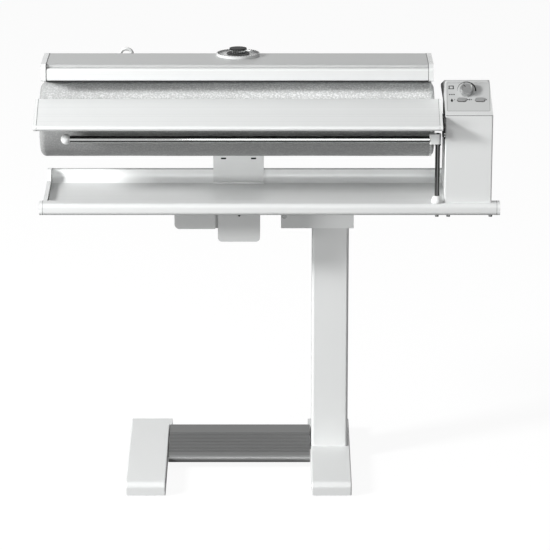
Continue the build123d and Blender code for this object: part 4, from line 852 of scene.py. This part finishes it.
beads = Pattern("beads_in_a_ring", [
    ("Geometry", "NodeSocketGeometry"), ("Count", "NodeSocketInt"), ("Radius", "NodeSocketFloat"),
    ("Out", "NodeSocketFloat"), ("Round", "NodeSocketFloat"), ("Along", "NodeSocketFloat"),
    ("Unevenness", "NodeSocketFloat"), ("Seed", "NodeSocketInt"), ("Turn", "NodeSocketVector"),
    ("Middle", "NodeSocketVector"), ("Skin", "NodeSocketMaterial"),
])
circle = beads.node(
    "GeometryNodeMeshCircle", {}, {"Vertices": beads.value("Count"), "Radius": beads.value("Radius")}
)
bead = beads.node("GeometryNodeMeshUVSphere", {}, {"Segments": 8, "Rings": 5, "Radius": 0.5})
outward = beads.node(
    "FunctionNodeAlignRotationToVector", {"axis": "X", "pivot_axis": "Z"},
    {"Vector": beads.node("GeometryNodeInputPosition")},
)
size = beads.node("ShaderNodeCombineXYZ", {}, {
    0: beads.value("Out"), 1: beads.value("Round"), 2: beads.value("Along"),
})
share = beads.node(
    "FunctionNodeRandomValue", {"data_type": "FLOAT"},
    {2: 1.0 - beads.value("Unevenness"), 3: 1.0 + beads.value("Unevenness"), "Seed": beads.value("Seed")},
    output=1,
)
uneven_size = beads.node(
    "ShaderNodeVectorMath", {"operation": "SCALE"}, {0: size, "Scale": share}
)
placed = beads.node("GeometryNodeInstanceOnPoints", {}, {
    "Points": circle, "Instance": bead, "Rotation": outward, "Scale": uneven_size,
})
ring = beads.node("GeometryNodeTransform", {}, {
    "Geometry": placed, "Translation": beads.value("Middle"), "Rotation": beads.value("Turn"),
})
beads.give(ring, "Skin")

collar_teeth = beads.grow(
    "collar_teeth", bpy.data.meshes.new("collar_teeth_start"),
    Count=44, Radius=44.3 * mm, Out=3.4 * mm, Round=2.8 * mm, Along=1.6 * mm, Unevenness=0.0, Seed=1,
    Turn=(-cover_tilt, 0.0, 0.0), Middle=[mm * place for place in on_dial(0.0, 0.0, 5.6)],
    Skin=black_plastic,
)
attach(collar_teeth, "heater")

# ------------------------------------------------------------------ screws
# Steel screws with a socket hold the rear of the control box, a black one holds the deeper lift
# housing, and white caps close the screws of the board's hinge block and the pivot pin.

heads = Pattern("heads_at_points", [
    ("Geometry", "NodeSocketGeometry"), ("Head", "NodeSocketObject"), ("Size", "NodeSocketFloat"),
    ("Turn", "NodeSocketRotation"), ("Skin", "NodeSocketMaterial"),
])
head_shape = heads.node("GeometryNodeObjectInfo", {}, {"Object": heads.value("Head")}, output="Geometry")
set_heads = heads.node("GeometryNodeInstanceOnPoints", {}, {
    "Points": heads.value("Geometry"), "Instance": head_shape, "Rotation": heads.value("Turn"),
    "Scale": heads.value("Size"),
})
heads.give(set_heads, "Skin")


def on_axis(across, up, out):
    return (across, up, out)


socket_head = lathe("socket_head", [
    (0, 180.0), (400.0, 180.0), (460.0, 460.0), (850.0, 430.0), (1000.0, 200.0), (1000.0, -80.0),
    (0, -80.0),
], on_axis, steps=12)
cap_head = lathe("cap_head", [
    (0, 600.0), (450.0, 540.0), (800.0, 330.0), (1000.0, 0.0), (1000.0, -100.0), (0, -100.0),
], on_axis, steps=12)


def points_mesh(name, places):
    mesh = bpy.data.meshes.new(name)
    mesh.from_pydata([tuple(mm * part for part in place) for place in places], [], [])
    return mesh


rear_screws = heads.grow(
    "rear_screws", points_mesh("rear_screw_places", [
        (x, 110.0, z) for x in (391.0, 464.0) for z in (640.0, 737.0, 834.0)
    ]),
    Head=socket_head, Size=4.0 * mm, Turn=(-math.pi / 2, 0.0, 0.0), Skin=turned_steel,
)
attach(rear_screws, "head")
housing_screw = heads.grow(
    "housing_screw", points_mesh("housing_screw_place", [(-62.2, -70.0, 607.0)]),
    Head=socket_head, Size=2.6 * mm, Turn=(math.pi / 2, 0.0, 0.0), Skin=black_plastic,
)
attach(housing_screw, "head")
hinge_caps = heads.grow(
    "hinge_caps", points_mesh("hinge_cap_places", [(375.2, -127.8, 803.3), (375.2, -127.8, 808.7)]),
    Head=cap_head, Size=1.7 * mm, Turn=(math.pi / 2, 0.0, 0.0), Skin=moulding,
)
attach(hinge_caps, "head")
pivot_cap = heads.grow(
    "pivot_cap", points_mesh("pivot_cap_place", [(35.0, 10.0, 578.0)]),
    Head=cap_head, Size=2.2 * mm, Turn=(math.pi / 2, 0.0, 0.0), Skin=moulding,
)
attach(pivot_cap, "stand")
for source in (socket_head, cap_head):
    bpy.data.objects.remove(source)

# ------------------------------------------------------------------ knuckle of the laundry rail
# The knuckle turns on the post, and a black slotted plug closes the bore on its top. A
# white ball is pushed over the rail's free end.

knuckle_plug = lathe("knuckle_plug", [
    (0, 0.25), (1.2, 0.25), (1.4, 0.7), (3.2, 0.6), (3.6, 0.1), (3.6, -0.4), (0, -0.4),
], lambda across, up, out: (361.6 + across, -114.0 + up, 805.0 + out), steps=24)
finished(knuckle_plug, black_plastic, "laundry_rail")

ball_x = -422.0 - math.sqrt(11.0 ** 2 - 8.0 ** 2)
ball_arc = [(11.2 * math.cos(math.radians(turn)), 11.2 * math.sin(math.radians(turn)))
            for turn in range(-180, -42, 6)]
rail_ball = lathe("rail_ball", [
    (abs(height) if abs(height) > 0.01 else 0, reach) for reach, height in ball_arc
] + [(8.05, 8.3), (8.05, 7.6), (7.0, 7.6), (0, 7.6)],
    lambda across, up, out: (ball_x + out, -114.0 + across, 792.5 + up), steps=36)
finished(rail_ball, moulding, "laundry_rail")

# ------------------------------------------------------------------ roller dressing
# A felt wadding under a fitted cotton cover, woven with a small self-coloured figure. The
# cover turns in over both ends, where a drawn hem gathers it round the hub. Its colour holds
# painted light and shade: brighter on the upper side and towards the right, darker on the
# lower side and at the left end.

roller_z = 803.0
cloth_left, cloth_right = -489.5, 356.9
cloth_radius = 80.0
cloth_thick = 2.0
hub_radius = 46.0
turn_in = 13.0
gathers = 44


def ring_mesh(name, outline, steps, wave):
    """A closed ring about the roller's axis, from its section's (x, radius, waviness) points."""
    verts, faces = [], []
    count = len(outline)
    for step in range(steps):
        turn = 2 * math.pi * step / steps
        for x, radius, waviness in outline:
            reach = radius + waviness * wave(x, turn)
            verts.append((x, reach * math.cos(turn), roller_z + reach * math.sin(turn)))
    for step in range(steps):
        after = (step + 1) % steps
        for place in range(count):
            beyond = (place + 1) % count
            faces.append((
                step * count + place, step * count + beyond,
                after * count + beyond, after * count + place,
            ))
    return piece_from(name, verts, faces, crease=70.0)


def end_arc(left, right, radius, round_radius, waviness, steps=6):
    """The section of a drum with rounded ends, from its left end over the top to its right end."""
    points = []
    for step in range(steps + 1):
        turn = math.pi / 2 * step / steps
        points.append((
            left + round_radius * (1 - math.cos(turn)),
            radius - round_radius * (1 - math.sin(turn)), waviness,
        ))
    spans = 90
    for step in range(1, spans):
        points.append((
            left + round_radius + (right - left - 2 * round_radius) * step / spans, radius, waviness,
        ))
    for step in range(steps, -1, -1):
        turn = math.pi / 2 * step / steps
        points.append((
            right - round_radius * (1 - math.cos(turn)),
            radius - round_radius * (1 - math.sin(turn)), waviness,
        ))
    return points


def cover_wave(x, turn):
    """Gathers at the ends, and the wadding's slow unevenness along the roller."""
    end = min(x - cloth_left, cloth_right - x)
    drawn = max(0.0, 1.0 - end / 26.0)
    pleat = 0.45 * drawn * math.sin(gathers * turn + 1.3 * math.sin(5 * turn))
    soft = 0.2 * math.sin(0.023 * x + 2 * turn) * math.sin(3 * turn + 0.009 * x)
    return pleat + soft - 0.35


left_face = [(cloth_left + 1.2, hub_radius, 0.0)] + [
    (cloth_left + 0.2, hub_radius + share * (cloth_radius - turn_in - hub_radius), share)
    for share in (0.2, 0.4, 0.6, 0.8)
]
right_face = [
    (cloth_right - (x - cloth_left), radius, waviness) for x, radius, waviness in left_face[::-1]
]
lining = end_arc(cloth_left + cloth_thick, cloth_right - cloth_thick, cloth_radius - cloth_thick,
                 turn_in - cloth_thick, 0.0)
lining = [
    (cloth_left + cloth_thick, hub_radius, 0.0), *lining, (cloth_right - cloth_thick, hub_radius, 0.0)
]
cover_section = (
    left_face + end_arc(cloth_left + 0.2, cloth_right - 0.2, cloth_radius, turn_in, 1.0) + right_face
    + lining[::-1]
)

cotton = Finish("woven_cotton")
figure = cotton.clouds(260.0, 2.0)
curl = cotton.node(
    "ShaderNodeTexVoronoi", {"feature": "SMOOTH_F1"}, {"Vector": cotton.place, "Scale": 330.0}
)
motif = (figure * 0.9 + curl * 0.5).between(0.60, 0.82)
weave = cotton.node(
    "ShaderNodeTexWave", {"bands_direction": "X"}, {"Vector": cotton.place, "Scale": 420.0}
)
lint = cotton.clouds(25.0, 3.0, seed=0.3)
cotton_x, _, cotton_z = (cotton.part_of(cotton.place, axis) for axis in range(3))
threads = motif * 0.7 + lint * 0.3
# Painted light and shade in the cover's colour: brighter towards the right and on the upper side, darker
# below and at the left end.
lighter_rightward = cotton_x.between(-0.45, 0.10)
lit_cotton = cotton.blend(
    threads, cotton.blend(lighter_rightward, level(0.43), level(0.58)),
    cotton.blend(lighter_rightward, level(0.70), level(0.95)),
)
shaded_cotton = cotton.blend(threads, level(0.25), level(0.32))
painted_light_part = cotton_z.between(0.795, 0.835) * cotton_x.between(-0.487, -0.472)
cotton_skin = cotton.surface(
    cotton.blend(painted_light_part, shaded_cotton, lit_cotton), 0.9 - motif * 0.15,
    cotton.bump(motif * 0.6 + weave * 0.4, 0.0001), sheen_weight=0.2, sheen_roughness=0.5,
)
roller_cover = ring_mesh("roller_cover", cover_section, 176, cover_wave)
finished(roller_cover, cotton_skin, "roller")
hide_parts("roller_cloth")

wadding_inset = 8.4
wadding_section = end_arc(cloth_left + wadding_inset, cloth_right - wadding_inset, 77.2, 4.6, 1.0)
wadding_section += [(cloth_right - wadding_inset, 72.4, 0.0), (cloth_left + wadding_inset, 72.4, 0.0)]
felt = Finish("wadding_felt")
fibres = felt.clouds(500.0, 4.0)
felt_skin = felt.surface(
    felt.blend(fibres, level(0.62, 0.03), level(0.76, 0.03)), 0.9 - fibres * 0.05,
    felt.bump(fibres, 0.0004),
)
roller_wadding = ring_mesh(
    "roller_wadding", wadding_section, 96, lambda x, turn: 0.15 * math.sin(0.031 * x + 5 * turn)
)
finished(roller_wadding, felt_skin, "roller")
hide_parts("roller_padding")

thread = Finish("white_thread")
twist = thread.clouds(1500.0, 2.0)
thread_skin = thread.surface(
    thread.blend(twist, level(0.72), level(0.84)), 0.75 + twist * 0.1, thread.bump(twist, 0.0001)
)
hem_stitches = beads.grow(
    "hem_stitches", bpy.data.meshes.new("hem_stitches_start"),
    Count=116, Radius=78.9 * mm, Out=1.5 * mm, Round=1.7 * mm, Along=6.4 * mm, Unevenness=0.12, Seed=7,
    Turn=(0.0, math.pi / 2, 0.0), Middle=((cloth_right - 8.0) * mm, 0.0, roller_z * mm),
    Skin=thread_skin,
)
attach(hem_stitches, "roller")
